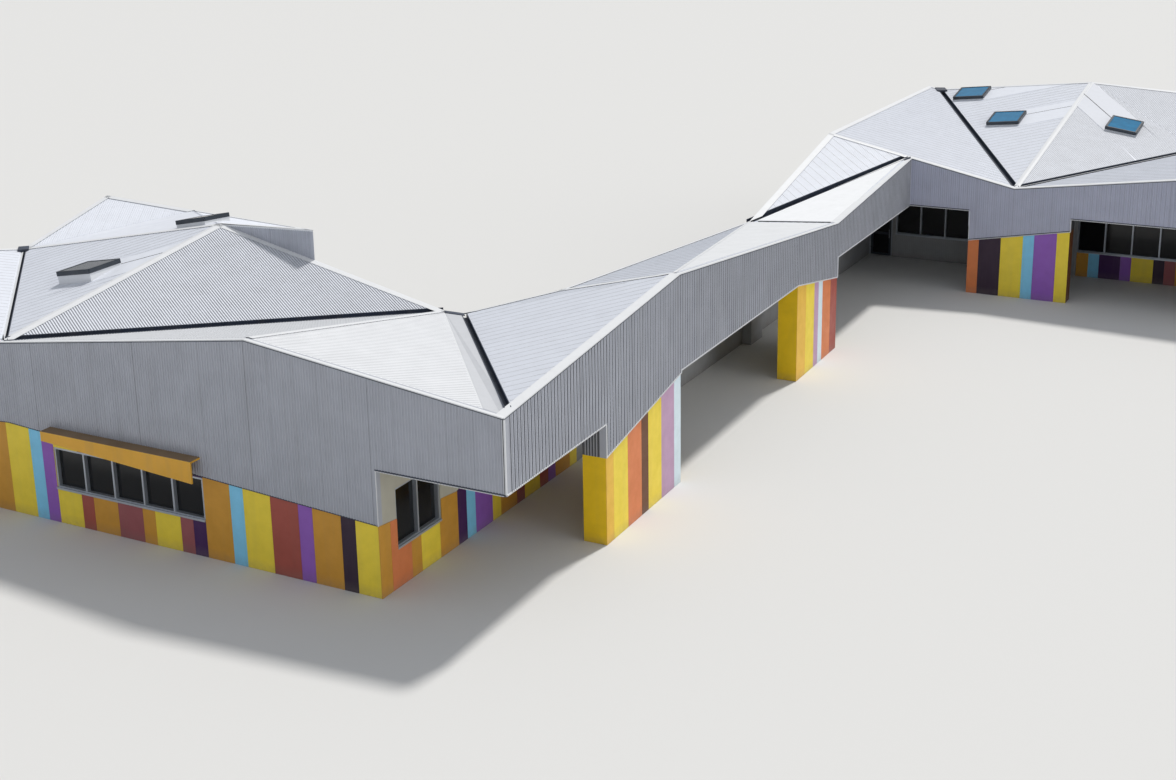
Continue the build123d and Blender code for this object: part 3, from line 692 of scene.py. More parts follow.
def make_palette(effects: Effects) -> dict[str, Material]:
    """Make every finish of the building once.

    Args:
        effects: The shared shader groups.

    Returns:
        The materials by name.
    """
    grey_blue = (0.46, 0.48, 0.54)
    finishes = [
        Coat("roof_sheet", (0.750, 0.780, 0.855), patch=0.035),
        # Darker copy of the roof sheet for the front corner's small facets: painted shade.
        Coat("strip_sheet_painted_shade", (0.57, 0.585, 0.62)),
        # Darker copy of the roof sheet for the hip's tray: painted shade.
        Coat("tray_sheet_painted_shade", (0.60, 0.625, 0.69)),
        # Lighter copy of the roof sheet for the walkway's smooth facet: painted light.
        Coat("smooth_sheet_painted_light", (0.90, 0.915, 0.94)),
        # Copies of the roof sheet toned for how light falls on the corner panel and the front strip: painted
        # light, and painted shade on the darker strip.
        Coat("corner_roof_sheet_painted_light", (0.74, 0.755, 0.785), patch=0.008, streak=0.03),
        Coat("front_roof_sheet_painted_shade", (0.565, 0.58, 0.61), patch=0.008, streak=0.03),
        Coat("roof_rib", (0.750, 0.780, 0.855), 0.40, patch=0.035, streak=0.06),
        # Dark strips on the flanks of roof ribs: painted shade, darkest on the pyramid's front, faint at the
        # sheet laps.
        Coat("dark_painted_rib_shade", (0.40, 0.415, 0.45), 0.6, patch=0.1, streak=0.1),
        Coat("pale_painted_rib_shade", (0.56, 0.575, 0.61), 0.5, patch=0.08, streak=0.08),
        Coat("faint_painted_lap_shade", (0.56, 0.58, 0.62), 0.5, patch=0.06, streak=0.06),
        Coat("white_flashing", (0.76, 0.775, 0.80), 0.38, streak=0.06),
        # Dark sheet of the gutters and rain heads, used also for painted shade in the gutter trenches and
        # painted shadow lines under edges.
        Coat("gutter_sheet_and_painted_shadow", (0.036, 0.050, 0.085), 0.5, patch=0.2, streak=0.2),
        # The walkway's copy of the front cladding is a little darker, painted shade; every cladding's ribs
        # are a little lighter than its flats, painted highlight.
        *cladding_coats("front", grey_blue, RIGHT, 1.0, 1.06),
        *cladding_coats("walkway", grey_blue, WALK_RUN, 0.98, 1.05),
        *cladding_coats("facade", (0.49, 0.515, 0.64), RIGHT, 1.0, 1.05),
        # Dark strips on the flanks of cladding ribs: painted shade.
        Coat("cladding_painted_rib_shade", (0.20, 0.21, 0.24), 0.5, patch=0.08, streak=0.1),
        # Ribs much lighter than the flats of the same infill sheet: painted highlight on the ribs and painted
        # shade on the flats.
        Coat("infill_sheet", (0.085, 0.088, 0.095), 0.5, patch=0.08, streak=0.1),
        Coat("infill_rib", (0.36, 0.37, 0.40), 0.45, patch=0.08, streak=0.1),
        # Ribs a little lighter than the flats of the same wall sheet: painted highlight.
        Coat("plain_wall_sheet", (0.36, 0.37, 0.385), 0.5, patch=0.06, streak=0.15, splash=0.8),
        Coat("plain_wall_rib", (0.38, 0.39, 0.405), 0.48, patch=0.06, streak=0.15, splash=0.8),
        Coat("cream_render", (0.55, 0.53, 0.44), 0.7, patch=0.05, streak=0.10, splash=0.5),
        Coat("ceiling_board", (0.55, 0.55, 0.53), 0.8, patch=0.04, streak=0.0),
        Coat("room_floor", (0.30, 0.285, 0.26), 0.55, patch=0.12, streak=0.0, grain_scale=30.0),
        Coat("window_metal", (0.50, 0.54, 0.60), 0.34, 0.6, patch=0.05, streak=0.08),
        Coat("dark_frame", (0.035, 0.045, 0.06), 0.38, 0.2, patch=0.1, streak=0.1),
        Coat("awning_sheet", (0.84, 0.44, 0.035), 0.4, patch=0.05, streak=0.14),
        # Dark brown top of the orange awnings: painted shade.
        Coat("awning_top", (0.25, 0.16, 0.08), 0.5, patch=0.1, streak=0.2),
        # Black sheet for the closures under the caps, used also for painted shadow lines at folds.
        Coat("black_seal_and_painted_shadow", (0.012, 0.012, 0.013), 0.7, patch=0.1, streak=0.0),
        Glazing("window_glass_tint", (0.012, 0.013, 0.015), 0.15, 0.3),
        Glazing("skylight_glass_tint", (0.018, 0.20, 0.40), 0.06, 0.2),
    ]
    for paint in Paint:
        board = Coat(paint.finish(), paint.value, 0.46, patch=0.05, patch_scale=5.0, streak=0.07, splash=0.5)
        finishes.append(board)
    return {finish.name: finish.build(effects) for finish in finishes}


@dataclass
class RibbedSkin:
    """Raised ribs over the flat faces of a CAD node."""

    node: str
    facing: Vector
    width: float
    height: float
    pitch: float = 0.0432
    plan: Place | None = (0.0, 0.0, 1.0)
    reach: float = UPRIGHT
    largest: int = 99
    crest: float = 0.55
    gap: float = 0.004
    # Every this many ribs carry a dark strip of painted shade on the flank that faces the front; zero for
    # none.
    lap_shade: int = 0
    shortest: float = 0.03
    shade: float = 0.0012
    mark: str = ""

    def build(self, finishes: list[str], slot: str) -> None:
        """Lay the ribs and make the piece.

        Args:
            finishes: Material of the ribs, and of the painted shade strips on their flanks.
            slot: Record slot of the finish.
        """
        maker = MeshMaker(f"{self.node}_ribs{self.mark}")
        for facet in flat_faces(self.node, self.facing, self.reach)[: self.largest]:
            laying = Laying(facet, np.array(self.plan) if self.plan else facet.fall())
            low, high = laying.reach()
            count = int((high - low) / self.pitch)
            start = low + ((high - low) - count * self.pitch) / 2
            for step in range(count + 1):
                self.rib(maker, laying, start + step * self.pitch, self.lap_shade > 0 and step % self.lap_shade == 0)
        maker.finish(finishes, slot)

    def rib(self, maker: MeshMaker, laying: Laying, middle: float, flank_shaded: bool) -> None:
        """Add one rib, cut to the face.

        Args:
            maker: Mesh that takes it.
            laying: Directions on the face.
            middle: Cross position of the rib.
            flank_shaded: Whether a shadow line runs along its flank.
        """
        sides = (middle - self.width / 2, middle + self.width / 2)
        crest = self.width * self.crest / 2
        for one, two in laying.pairs(*sides):
            if min(one[1] - one[0], two[1] - two[0]) < self.shortest:
                continue
            near = [laying.point(sides[0], run, -ROOT) for run in (one[0] + self.gap, one[1] - self.gap)]
            far = [laying.point(sides[1], run, -ROOT) for run in (two[0] + self.gap, two[1] - self.gap)]
            ends = ((one[0] + two[0]) / 2 + self.gap, (one[1] + two[1]) / 2 - self.gap)
            near_crest = [laying.point(middle - crest, run, self.height) for run in ends]
            far_crest = [laying.point(middle + crest, run, self.height) for run in ends]
            maker.loft([*far, *near[::-1]], [*far_crest, *near_crest[::-1]])
            if flank_shaded:
                # Painted shade: a dark strip on the flank that faces the front, for the rib's shadow and the
                # shadow at a sheet lap.
                foot, ridge = (near, near_crest) if laying.across[1] > 0 else (far, far_crest)
                maker.slab([*foot, *ridge[::-1]], UP, 0.0, self.shade, 1)


@dataclass
class RoofSkin(RibbedSkin):
    """Ribs of a roof sheet, close together and short of the sheet's edges."""

    pitch: float = 0.0395
    plan: Place | None = None
    reach: float = SLOPING
    largest: int = 9
    crest: float = 0.20
    gap: float = 0.02
    # Every fifth rib carries a painted shade strip, at the sheet laps.
    lap_shade: int = 5
    sheet: str = "roof_sheet"
    rib_finish: str = "roof_rib"
    shade_finish: str = "faint_painted_lap_shade"


@dataclass
class BoardWall:
    """Coloured boards over a wall, in a row of widths."""

    name: str
    node: str
    facing: Vector
    origin: Vector
    run: Vector
    boards: list[tuple[Paint, float]]
    cuts: tuple[float, ...] = ()
    roof_line: tuple[Span, ...] = ()
    thickness: float = 0.010
    gap: float = 0.0025
    shortest: float = 0.01
    inset: float = 1e-4

    def top_at(self, place: float) -> float:
        """Height of the boards' own top line at one place along the wall, in model metres."""
        return float(np.interp(place, *zip(*self.roof_line))) * REAL if self.roof_line else math.inf

    def build(self) -> None:
        """Cut the boards to the wall and make the piece."""
        maker = MeshMaker(self.name)
        used = list(dict.fromkeys(paint for paint, _ in self.boards))
        for facet in flat_faces(self.node, self.facing, UPRIGHT, 0.05)[:3]:
            laying = Laying(facet, np.array(UP))
            sign = 1.0 if Vector(laying.across).dot(self.run) > 0 else -1.0
            datum = (float(np.array(self.origin) @ laying.across), sign)
            place = 0.0
            for paint, width in self.boards:
                stops = [place, *(cut for cut in self.cuts if place < cut < place + width), place + width]
                for left, right in zip(stops, stops[1:]):
                    start = left * REAL + (self.gap / 2 if left == place else 0.0)
                    end = right * REAL - (self.gap / 2 if right == place + width else 0.0)
                    self.board(maker, laying, datum, (start, end), used.index(paint))
                place += width
        maker.finish([paint.finish() for paint in used], "panel_board", SOFT_EDGE)

    def board(self, maker: MeshMaker, laying: Laying, datum: Span, sides: Span, slot: int) -> None:
        """Add one board, or the parts of it above and below an opening.

        Args:
            maker: Mesh that takes it.
            laying: Directions on the wall's face.
            datum: Cross position of the wall's start, and the sign of its run.
            sides: Start and end along the wall, in model metres.
            slot: Index of its material.
        """
        zero, sign = datum
        tops = [self.top_at(side / REAL) for side in sides]
        low, high = (zero + sign * side for side in sides)
        for one, two in laying.pairs(low + sign * self.inset, high - sign * self.inset):
            ends = (min(one[1], tops[0]), min(two[1], tops[1]))
            if min(ends[0] - one[0], ends[1] - two[0]) < self.shortest:
                continue
            outline = ((low, one[0]), (high, two[0]), (high, ends[1] - self.gap), (low, ends[0] - self.gap))
            loop = [laying.point(cross, run, 0.0) for cross, run in outline]
            maker.slab(loop, Vector(laying.facet.normal), -ROOT, self.thickness, slot)


@dataclass(frozen=True)
class Folds:
    """Fold points of the roofs, in real metres."""

    left_low: Place = (-12.70, 0.20, 5.16)
    left_peak: Place = (-3.87, 0.20, 6.39)
    far_peak: Place = (-22.70, 0.20, 6.553)
    corner_gutter: Place = (3.571, 0.55, 5.513)
    corner_split: Place = (3.10, 0.20, 5.543)
    apex: Place = (-12.0, 8.80, 6.75)
    west_corner: Place = (-21.0, 8.80, 5.0)
    end_corner: Place = (-22.70, 8.80, 4.60)
    sump_left: Place = (-3.54, 8.80, 4.85)
    sump_right: Place = (-2.84, 8.80, 4.85)
    rear_peak: Place = (-21.0, 13.00, 6.06)
    rear_fold: Place = (-17.40, 13.60, 5.70)
    upstand_right: Place = (-8.3, 8.80, 6.91)
    rear_right: Place = (-13.4, 14.50, 4.90)
    rear_left: Place = (-21.0, 14.50, 4.90)
    walk_peak: Place = (3.401, 10.258, 6.43)
    walk_low: Place = (3.149, 24.716, 4.80)
    eave_peak: Place = (-0.60, 10.70, 5.34)
    eave_low: Place = (-0.32, 25.20, 4.42)
    low_in: Place = (7.50, 34.55, 4.56)
    end_in: Place = (18.60, 34.55, 6.08)
    eave_rear: Place = (-0.45, 49.20, 6.27)
    valley_rear: Place = (0.10, 49.20, 6.15)
    hip_rear: Place = (7.50, 49.20, 6.90)
    valley_turn: Place = (13.30, 43.20, 5.05)
    valley_side: Place = (18.60, 43.20, 5.20)
    fold_rear: Place = (12.20, 49.20, 6.60)
    corner_rear: Place = (18.60, 49.20, 6.10)
    meeting: Place = (2.980, 34.35, 5.546)
    eave_front: Place = (-0.45, 34.35, 6.295)

    def sited(self) -> Folds:
        """Give the same points in the model's frame."""
        return Folds(*(site(*place) for place in vars(self).values()))


@dataclass
class Roofs:
    """Roof sheets, ridge caps, edge flashings and gutters."""

    folds: Folds = field(default_factory=lambda: Folds().sited())
    cap_lift: float = 0.0125
    cap_thickness: float = 0.004
    cap_tuck: float = 0.004
    closure_inset: float = 0.03
    head_height: float = 0.055
    head_setback: float = 0.02
    head_edge: float = 0.003
    # Size and ends of the black strip along the walkway's low fold, which is painted shadow under the step
    # there.
    fold_shadow: Span = (0.030, 0.012)
    fold_shadow_ends: Span = (0.03, 0.90)
    sump_sheet: Span = (0.30, 0.014)
    liner_gauge: float = 0.010
    gutter_depth: float = 0.058
    flashing_widths: Span = (0.060, 0.150)
    flashing_gauge: float = 0.014
    flashing_lip: Span = (0.012, 0.006)
    overhang: Span = (0.009, 0.003)
    frame_height: float = 0.062
    rim_out: float = 0.010
    rim_skin: float = 0.011
    rim_face: Span = (0.045, 0.008)
    darker_panes_left_of: float = -3.0
    dark_film: Span = (0.001, 0.004)
    tray_margin: float = 0.03
    tray_fold: float = 0.018
    tray_fold_lift: float = 0.003
    tray_bed: float = 0.002

    def build(self) -> None:
        """Make every roof piece."""
        self.sheets()
        self.corner_strip()
        self.caps()
        self.smooth_sheets()
        self.rain_heads()
        self.edges()
        self.gutters()
        self.windows()
        self.trays()

    def sheets(self) -> None:
        """Dress every roof node and lay its ribs, some with painted shade strips on their flanks."""
        front, corner = "front_roof_sheet_painted_shade", "corner_roof_sheet_painted_light"
        pale_shade, lap_shade = "pale_painted_rib_shade", "dark_painted_rib_shade"
        for skin in (
            # The front strip and corner panel take toned copies of the roof sheet: painted shade and painted
            # light.
            RoofSkin("roof_front_strip", UP, 0.016, 0.0040, sheet=front, rib_finish=front),
            RoofSkin(
                "roof_front_corner", UP, 0.014, 0.0040, plan=(0.57, 0.82, 0.0), largest=1, lap_shade=2,
                sheet=corner, rib_finish=corner, shade_finish=pale_shade,
            ),
            RoofSkin(
                "roof_pyramid_front", UP, 0.034, 0.0095, plan=(0.88, -0.47, 0.0), lap_shade=1, shade_finish=lap_shade
            ),
            RoofSkin("roof_pyramid_west", UP, 0.014, 0.0035),
            RoofSkin("roof_left_end", UP, 0.014, 0.0035),
            RoofSkin("roof_rear", UP, 0.016, 0.0045),
            RoofSkin("roof_walk_front", UP, 0.012, 0.0030, plan=(-0.92, -0.39, 0.0)),
            RoofSkin("roof_walk_middle", UP, 0.012, 0.0030, plan=(0.93, -0.37, 0.0)),
            RoofSkin("roof_walk_rear", UP, 0.018, 0.0045, plan=(0.80, -0.60, 0.0)),
            RoofSkin("roof_right_west", UP, 0.014, 0.0040, plan=(1.0, 0.03, 0.0)),
            RoofSkin("roof_right_valley", UP, 0.014, 0.0035, plan=(0.86, 0.52, 0.0)),
            RoofSkin(
                "roof_right_hip", UP, 0.034, 0.0060, plan=(0.565, -0.825, 0.0), lap_shade=1, shade_finish=pale_shade
            ),
            RoofSkin("roof_right_front", UP, 0.024, 0.0060),
            RoofSkin("roof_right_corner", UP, 0.024, 0.0060),
        ):
            dress(skin.sheet, skin.node)
            skin.build([skin.rib_finish, skin.shade_finish], "roof_metal")

    def corner_strip(self) -> None:
        """Cover the front corner's smaller facets, beside its gutter, with plain sheet in a darker tone that
        is painted shade.
        """
        strip = MeshMaker("corner_gutter_strip")
        for facet in flat_faces("roof_front_corner", UP, SLOPING)[1:]:
            for triangle in facet.triangles:
                strip.slab([Vector(point) for point in triangle], Vector(facet.normal), *THIN_FILM)
        strip.finish(["strip_sheet_painted_shade"], "roof_metal")

    def cap(self, maker: MeshMaker, start: Vector, end: Vector, toward: Vector, width: float) -> None:
        """Lay one flap of folded sheet along an edge, over dark closures between the ribs.

        Args:
            maker: Mesh that takes it.
            start: One end of the edge.
            end: Other end of the edge.
            toward: Third corner of the panel that the flap lies on.
            width: Width of the flap in real metres.
        """
        edge = (end - start).normalized()
        side = toward - start
        side = side - edge * side.dot(edge)
        normal = edge.cross(side).normalized()
        normal = -normal if normal.z < 0 else normal
        under = self.cap_lift - self.cap_thickness
        near = -self.cap_tuck / side.length
        flap = (0, width, under, self.cap_lift)
        closure = (1, width - self.closure_inset, -self.cap_tuck, under)
        for slot, depth, low, high in (flap, closure):
            far = depth * REAL / side.length
            reaches = ((start, near), (end, near), (end, far), (start, far))
            loop = [point + (toward - point) * share for point, share in reaches]
            maker.slab(loop, normal, low, high, slot)

    def caps(self) -> None:
        """Lay the caps of the ridges, eaves and folds."""
        f = self.folds
        ridges: list[tuple[Vector, Vector, list[Vector], float]] = [
            (f.left_low, f.apex, [f.sump_left, f.west_corner], 0.17),
            (f.apex, f.sump_left, [f.left_low], 0.20),
            (f.apex, f.west_corner, [f.left_low], 0.16),
            (f.left_peak, f.sump_left, [f.left_low, f.corner_split], 0.12),
            (f.far_peak, f.west_corner, [f.left_low, f.end_corner], 0.17),
            (f.walk_peak, f.eave_peak, [f.sump_right, f.eave_low], 0.15),
            (f.walk_peak, f.eave_low, [f.eave_peak, f.walk_low], 0.05),
            (f.sump_right, f.eave_peak, [f.walk_peak], 0.20),
            (f.eave_peak, f.eave_low, [f.walk_peak], 0.20),
            (f.eave_low, f.eave_front, [f.meeting], 0.25),
            (f.meeting, f.eave_front, [f.eave_low, f.eave_rear], 0.14),
            (f.low_in, f.hip_rear, [f.valley_rear, f.valley_turn], 0.12),
            (f.fold_rear, f.valley_turn, [f.hip_rear, f.corner_rear], 0.15),
            (f.low_in, f.valley_turn, [f.end_in], 0.05),
            (f.eave_front, f.eave_rear, [f.low_in], 0.20),
            (f.rear_peak, f.rear_fold, [f.west_corner, f.rear_left], 0.17),
            (f.rear_fold, f.upstand_right, [f.apex, f.rear_right], 0.17),
            (f.rear_peak, f.west_corner, [f.rear_fold], 0.17),
            (f.rear_peak, f.rear_left, [f.rear_fold], 0.17),
            (f.apex, f.upstand_right, [f.rear_fold], 0.17),
            (f.upstand_right, f.rear_right, [f.rear_fold], 0.20),
            (f.rear_left, f.rear_right, [f.rear_fold], 0.18),
            (f.far_peak, f.end_corner, [f.west_corner], 0.18),
            (f.west_corner, f.left_low, [f.end_corner], 0.75),
            (f.west_corner, f.end_corner, [f.far_peak], 0.18),
            (f.valley_rear, f.hip_rear, [f.low_in], 0.20),
            (f.hip_rear, f.fold_rear, [f.valley_turn], 0.20),
            (f.fold_rear, f.corner_rear, [f.valley_turn], 0.20),
            (f.eave_rear, f.valley_rear, [f.low_in], 0.20),
            (f.valley_side, f.corner_rear, [f.valley_turn], 0.20),
            (f.end_in, f.valley_side, [f.valley_turn], 0.20),
        ]
        maker = MeshMaker("ridge_caps")
        for start, end, sides, width in ridges:
            for toward in sides:
                self.cap(maker, start, end, toward, width)
        maker.finish(["white_flashing", "black_seal_and_painted_shadow"], "flashing_metal")

    def smooth_sheets(self) -> None:
        """Lay the facets that have no ribs to be seen, the walkway's in a lighter tone that is painted light,
        and a black strip of painted shadow along the walkway's low fold.
        """
        f = self.folds
        fold_shadow = MeshMaker("open_fold_painted_shadow")
        ends = [f.walk_low.lerp(f.eave_low, share) for share in self.fold_shadow_ends]
        # Black strip: painted shadow where the upper sheet steps over the lower one.
        fold_shadow.bar(*ends, BACK * self.fold_shadow[0], UP * self.fold_shadow[1])
        fold_shadow.finish(["black_seal_and_painted_shadow"], "flashing_metal")
        walk, rear = MeshMaker("smooth_walk_sheet"), MeshMaker("smooth_rear_sheet")
        inner = self.shrunk(0.04, f.walk_low, f.meeting, f.eave_low)
        inner[2] = inner[2].lerp(f.walk_low, 0.05)
        # The walkway's smooth facet is a lighter copy of the roof sheet: painted light.
        walk.slab(inner, UP, *SHEET)
        walk.slab(self.shrunk(0.04, f.walk_low, f.eave_low, f.walk_peak), UP, *THIN_SHEET, 1)
        walk.finish(["smooth_sheet_painted_light", "white_flashing"], "roof_metal")
        rear.slab(self.shrunk(0.05, f.west_corner, f.apex, f.rear_fold), UP, *SHEET)
        rear.finish(["roof_sheet"], "roof_metal")

    @staticmethod
    def shrunk(share: float, *corners: Vector) -> list[Vector]:
        """Draw the corners of a facet in towards its middle by a share."""
        middle = sum(corners, Vector()) / len(corners)
        return [corner.lerp(middle, share) for corner in corners]

    def rain_heads(self) -> None:
        """Set the dark heads at the low ends of the gutters and the sheet over the sump."""
        f = self.folds
        heads = MeshMaker("rain_heads")
        for one, two, length, wide in (
            (f.west_corner, f.left_low, 0.55, 0.36),
            (f.valley_rear, f.low_in, 0.60, 0.50),
        ):
            run = (two - one).normalized()
            across = Vector((-run.y, run.x, 0.0)).normalized() * wide * REAL
            first = one + run * self.head_setback - across / 2
            heads.bar(first, first + run * length * REAL, across, UP * self.head_height)
        width, gauge = self.sump_sheet
        across = (f.corner_gutter - f.sump_right).normalized() * width * REAL
        heads.bar(f.sump_left, f.sump_right, across, UP * gauge)
        heads.finish(["gutter_sheet_and_painted_shadow"], "flashing_metal", self.head_edge)

    def gutters(self) -> None:
        """Line the gutters with dark sheet up to the roof on both sides, partly painted shade in the
        trenches.
        """
        dress("gutter_sheet_and_painted_shadow", "box_gutters")
        f = self.folds
        maker = MeshMaker("gutter_liners")
        for start, end, width, sides in (
            (f.left_low, f.sump_left, 0.34, (f.apex, f.left_peak)),
            (f.left_low, f.west_corner, 0.16, (f.apex,)),
            (f.sump_right, f.corner_gutter, 0.16, (f.walk_peak, f.sump_left)),
            (f.eave_low, f.meeting, 0.34, (f.eave_front, f.walk_low)),
            (f.low_in, f.valley_rear, 0.26, (f.hip_rear, f.eave_rear)),
            (f.low_in, f.valley_turn, 0.34, (f.hip_rear, f.end_in)),
            (f.valley_turn, f.valley_side, 0.34, (f.end_in, f.corner_rear)),
        ):
            for toward in sides:
                self.liner(maker, start, end, toward, width * REAL / 2)
        maker.finish(["gutter_sheet_and_painted_shadow"], "gutter_metal")

    def liner(self, maker: MeshMaker, start: Vector, end: Vector, toward: Vector, reach: float) -> None:
        """Stand one strip of dark sheet against a side of a gutter's trench; its darkness is partly painted
        shade.

        Args:
            maker: Mesh that takes it.
            start: One end of the gutter's line.
            end: Other end.
            toward: Third corner of the roof panel on that side.
            reach: Distance from the line to the side, in model metres.
        """
        edge = (end - start).normalized()
        flat = Vector((edge.x, edge.y, 0.0)).normalized()
        across = Vector((-flat.y, flat.x, 0.0))
        offset = (toward - start).dot(across)
        if offset < 0:
            across, offset = -across, -offset
        foot = start + edge * ((toward - start).dot(flat) / edge.dot(flat))
        rise = (toward.z - foot.z) / offset
        low = UP * -self.gutter_depth
        tall = UP * (rise * reach + self.liner_gauge) - low
        near = across * (reach - 0.006)
        maker.bar(start + near + low, end + near + low, across * self.liner_gauge, tall)

    def edges(self) -> None:
        """Lay the wide flashings along the tops of the claddings, each with a dark drip edge of painted
        shadow.
        """
        peak = self.folds.walk_peak + WALK_OUT * 0.1
        low = self.folds.walk_low + WALK_OUT * 0.1
        corner = site(WALK_CORNER, 0.0, 5.46)
        front = [site(-22.70, 0.0, 6.553), site(-12.70, 0.0, 5.16), site(-3.87, 0.0, 6.39), corner]
        side = [corner, peak, low, site(3.1804, FACADE_ROW, 5.489)]
        facade = [site(x, FACADE_ROW, z) for x, z in ((2.98, 5.532), (7.50, 4.56), (18.60, 6.08))]
        maker = MeshMaker("edge_flashings")
        narrow, wide = self.flashing_widths
        drop, gauge = self.flashing_lip
        for line, across in ((front, BACK), (side, -WALK_OUT), (facade, BACK)):
            shift = across * -self.overhang[0] - UP * self.overhang[1]
            for start, end in zip(line, line[1:]):
                width = narrow if start is peak or line is front else wide
                maker.bar(start + shift, end + shift, across * width, UP * self.flashing_gauge)
                # Dark drip edge: painted shadow under the flashing.
                maker.bar(start + shift, end + shift, UP * -drop, across * gauge, 1)
        maker.finish(["white_flashing", "gutter_sheet_and_painted_shadow"], "flashing_metal")

    def windows(self) -> None:
        """Dress the roof windows, give each its rim and darken the left pavilion's panes."""
        dress("white_flashing", "skylight_frames")
        dress("skylight_glass_tint", "skylight_glass")
        rim, tint = MeshMaker("skylight_rims"), MeshMaker("dark_roof_panes")
        width, height = self.rim_face
        for corners, normal in self.panes():
            middle = sum(corners, Vector()) / len(corners)
            if middle.x < self.darker_panes_left_of:
                tint.slab(corners, normal, *self.dark_film)
            for one, two in zip(corners, corners[1:] + corners[:1]):
                inward = normal.cross((two - one).normalized())
                inward = -inward if inward.dot(middle - one) < 0 else inward
                start, end = one - inward * self.rim_out, two - inward * self.rim_out
                down, lip = normal * self.frame_height, normal * height
                rim.bar(start - down, end - down, inward * self.rim_skin, down + lip)
                rim.bar(start, end, inward * width, lip)
        rim.finish(["dark_frame"], "skylight_metal", 0.002)
        tint.finish(["window_glass_tint"], "skylight_glass")

    def trays(self) -> None:
        """Lay smooth sheet from each roof window up to its ridge, with a black line of painted shadow along a
        fold in it; the hip's tray is darker, painted shade.
        """
        f = self.folds
        low, high = 0.0050, 0.0095
        left, right = (f.left_low, f.apex, f.west_corner), (f.low_in, f.hip_rear, f.valley_rear)
        hip, ridge_line = (f.low_in, f.valley_turn, f.hip_rear), (f.low_in, f.hip_rear)
        places = (
            ((-14.26, 5.15), left, (f.left_low, f.apex), (0.877, 0.48), low),
            ((1.45, 47.6), right, (f.hip_rear, f.valley_rear), (0.873, 0.487), low),
            ((4.30, 43.3), right, ridge_line, (0.873, 0.487), low),
            ((9.80, 44.7), hip, ridge_line, (-0.585, 0.811), high),
        )
        panes = [corners for corners, _ in self.panes()]
        maker = MeshMaker("roof_window_trays")
        for (x, y), panel, ridge, plan, lift in places:
            target = site(x, y, 0.0)
            pane = min(panes, key=lambda corners: (corners[0].xy - target.xy).length)
            # The hip's tray takes the darker tray sheet, painted shade.
            self.tray(maker, pane, panel, ridge, (Vector((*plan, 0.0)), lift), 2 if lift == high else 0)
        maker.finish(["roof_sheet", "black_seal_and_painted_shadow", "tray_sheet_painted_shade"], "flashing_metal")

    def tray(
        self,
        maker: MeshMaker,
        pane: list[Vector],
        panel: tuple[Vector, ...],
        ridge: tuple[Vector, ...],
        course: tuple[Vector, float],
        slot: int,
    ) -> None:
        """Lay one window's tray.

        Args:
            maker: Mesh that takes it.
            pane: Corners of the window.
            panel: Three corners of the roof panel.
            ridge: Ends of the ridge.
            course: Direction up the panel in plan, and the height over the sheet.
            slot: Index of the tray's material.
        """
        plan, lift = course
        normal = (panel[1] - panel[0]).cross(panel[2] - panel[0]).normalized()
        normal = -normal if normal.z < 0 else normal
        across = UP.cross(plan)

        def on_panel(point: Vector) -> Vector:
            """Place on the panel straight under or over a point."""
            return point + UP * (normal.dot(panel[0] - point) / normal.z)

        def up_to_ridge(point: Vector) -> Vector:
            """Find the place on the ridge that is reached by going up the panel.

            Args:
                point: Place on the tray's lower side.

            Returns:
                The place, a little short of the ridge.
            """
            line, gap = ridge[1] - ridge[0], ridge[0] - point
            share = (gap.x * line.y - gap.y * line.x) / (plan.x * line.y - plan.y * line.x)
            return on_panel(point + plan * (share - self.tray_margin))

        lower = min(pane, key=lambda point: point.dot(across)) - across * self.tray_margin
        upper = max(pane, key=lambda point: point.dot(across)) + across * self.tray_margin
        tip = max(pane, key=lambda point: point.dot(plan))
        for one, two in ((lower, tip), (tip, upper)):
            loop = [on_panel(one), on_panel(two), up_to_ridge(two), up_to_ridge(one)]
            maker.slab(loop, normal, -self.tray_bed, lift, slot)
        # Black line along the tray's fold: painted shadow.
        fold = normal * (lift + self.tray_fold_lift)
        maker.bar(on_panel(tip), up_to_ridge(tip), across * self.tray_fold, fold, 1)

    @staticmethod
    def panes() -> list[tuple[list[Vector], Vector]]:
        """Find the four corners and the normal of each roof window's glass.

        Returns:
            Corners in order round each pane, with its normal.
        """
        found = []
        for facet in flat_faces("skylight_glass", UP, SLOPING, 0.2):
            islands: list[set[tuple[float, ...]]] = []
            for triangle in facet.triangles:
                corners = {tuple(np.round(point, 4)) for point in triangle}
                joined = [island for island in islands if island & corners]
                islands = [island for island in islands if not island & corners]
                islands.append(corners.union(*joined))
            normal = Vector(facet.normal)
            for island in islands:
                points = [Vector(point) for point in sorted(island)]
                middle = sum(points, Vector()) / len(points)
                axis = (points[0] - middle).normalized()
                other = normal.cross(axis)
                arms = [(point, point - middle) for point in points]
                arms.sort(key=lambda pair: math.atan2(pair[1].dot(other), pair[1].dot(axis)))
                points = [point for point, _ in arms]
                found.append((points, normal))
        return found


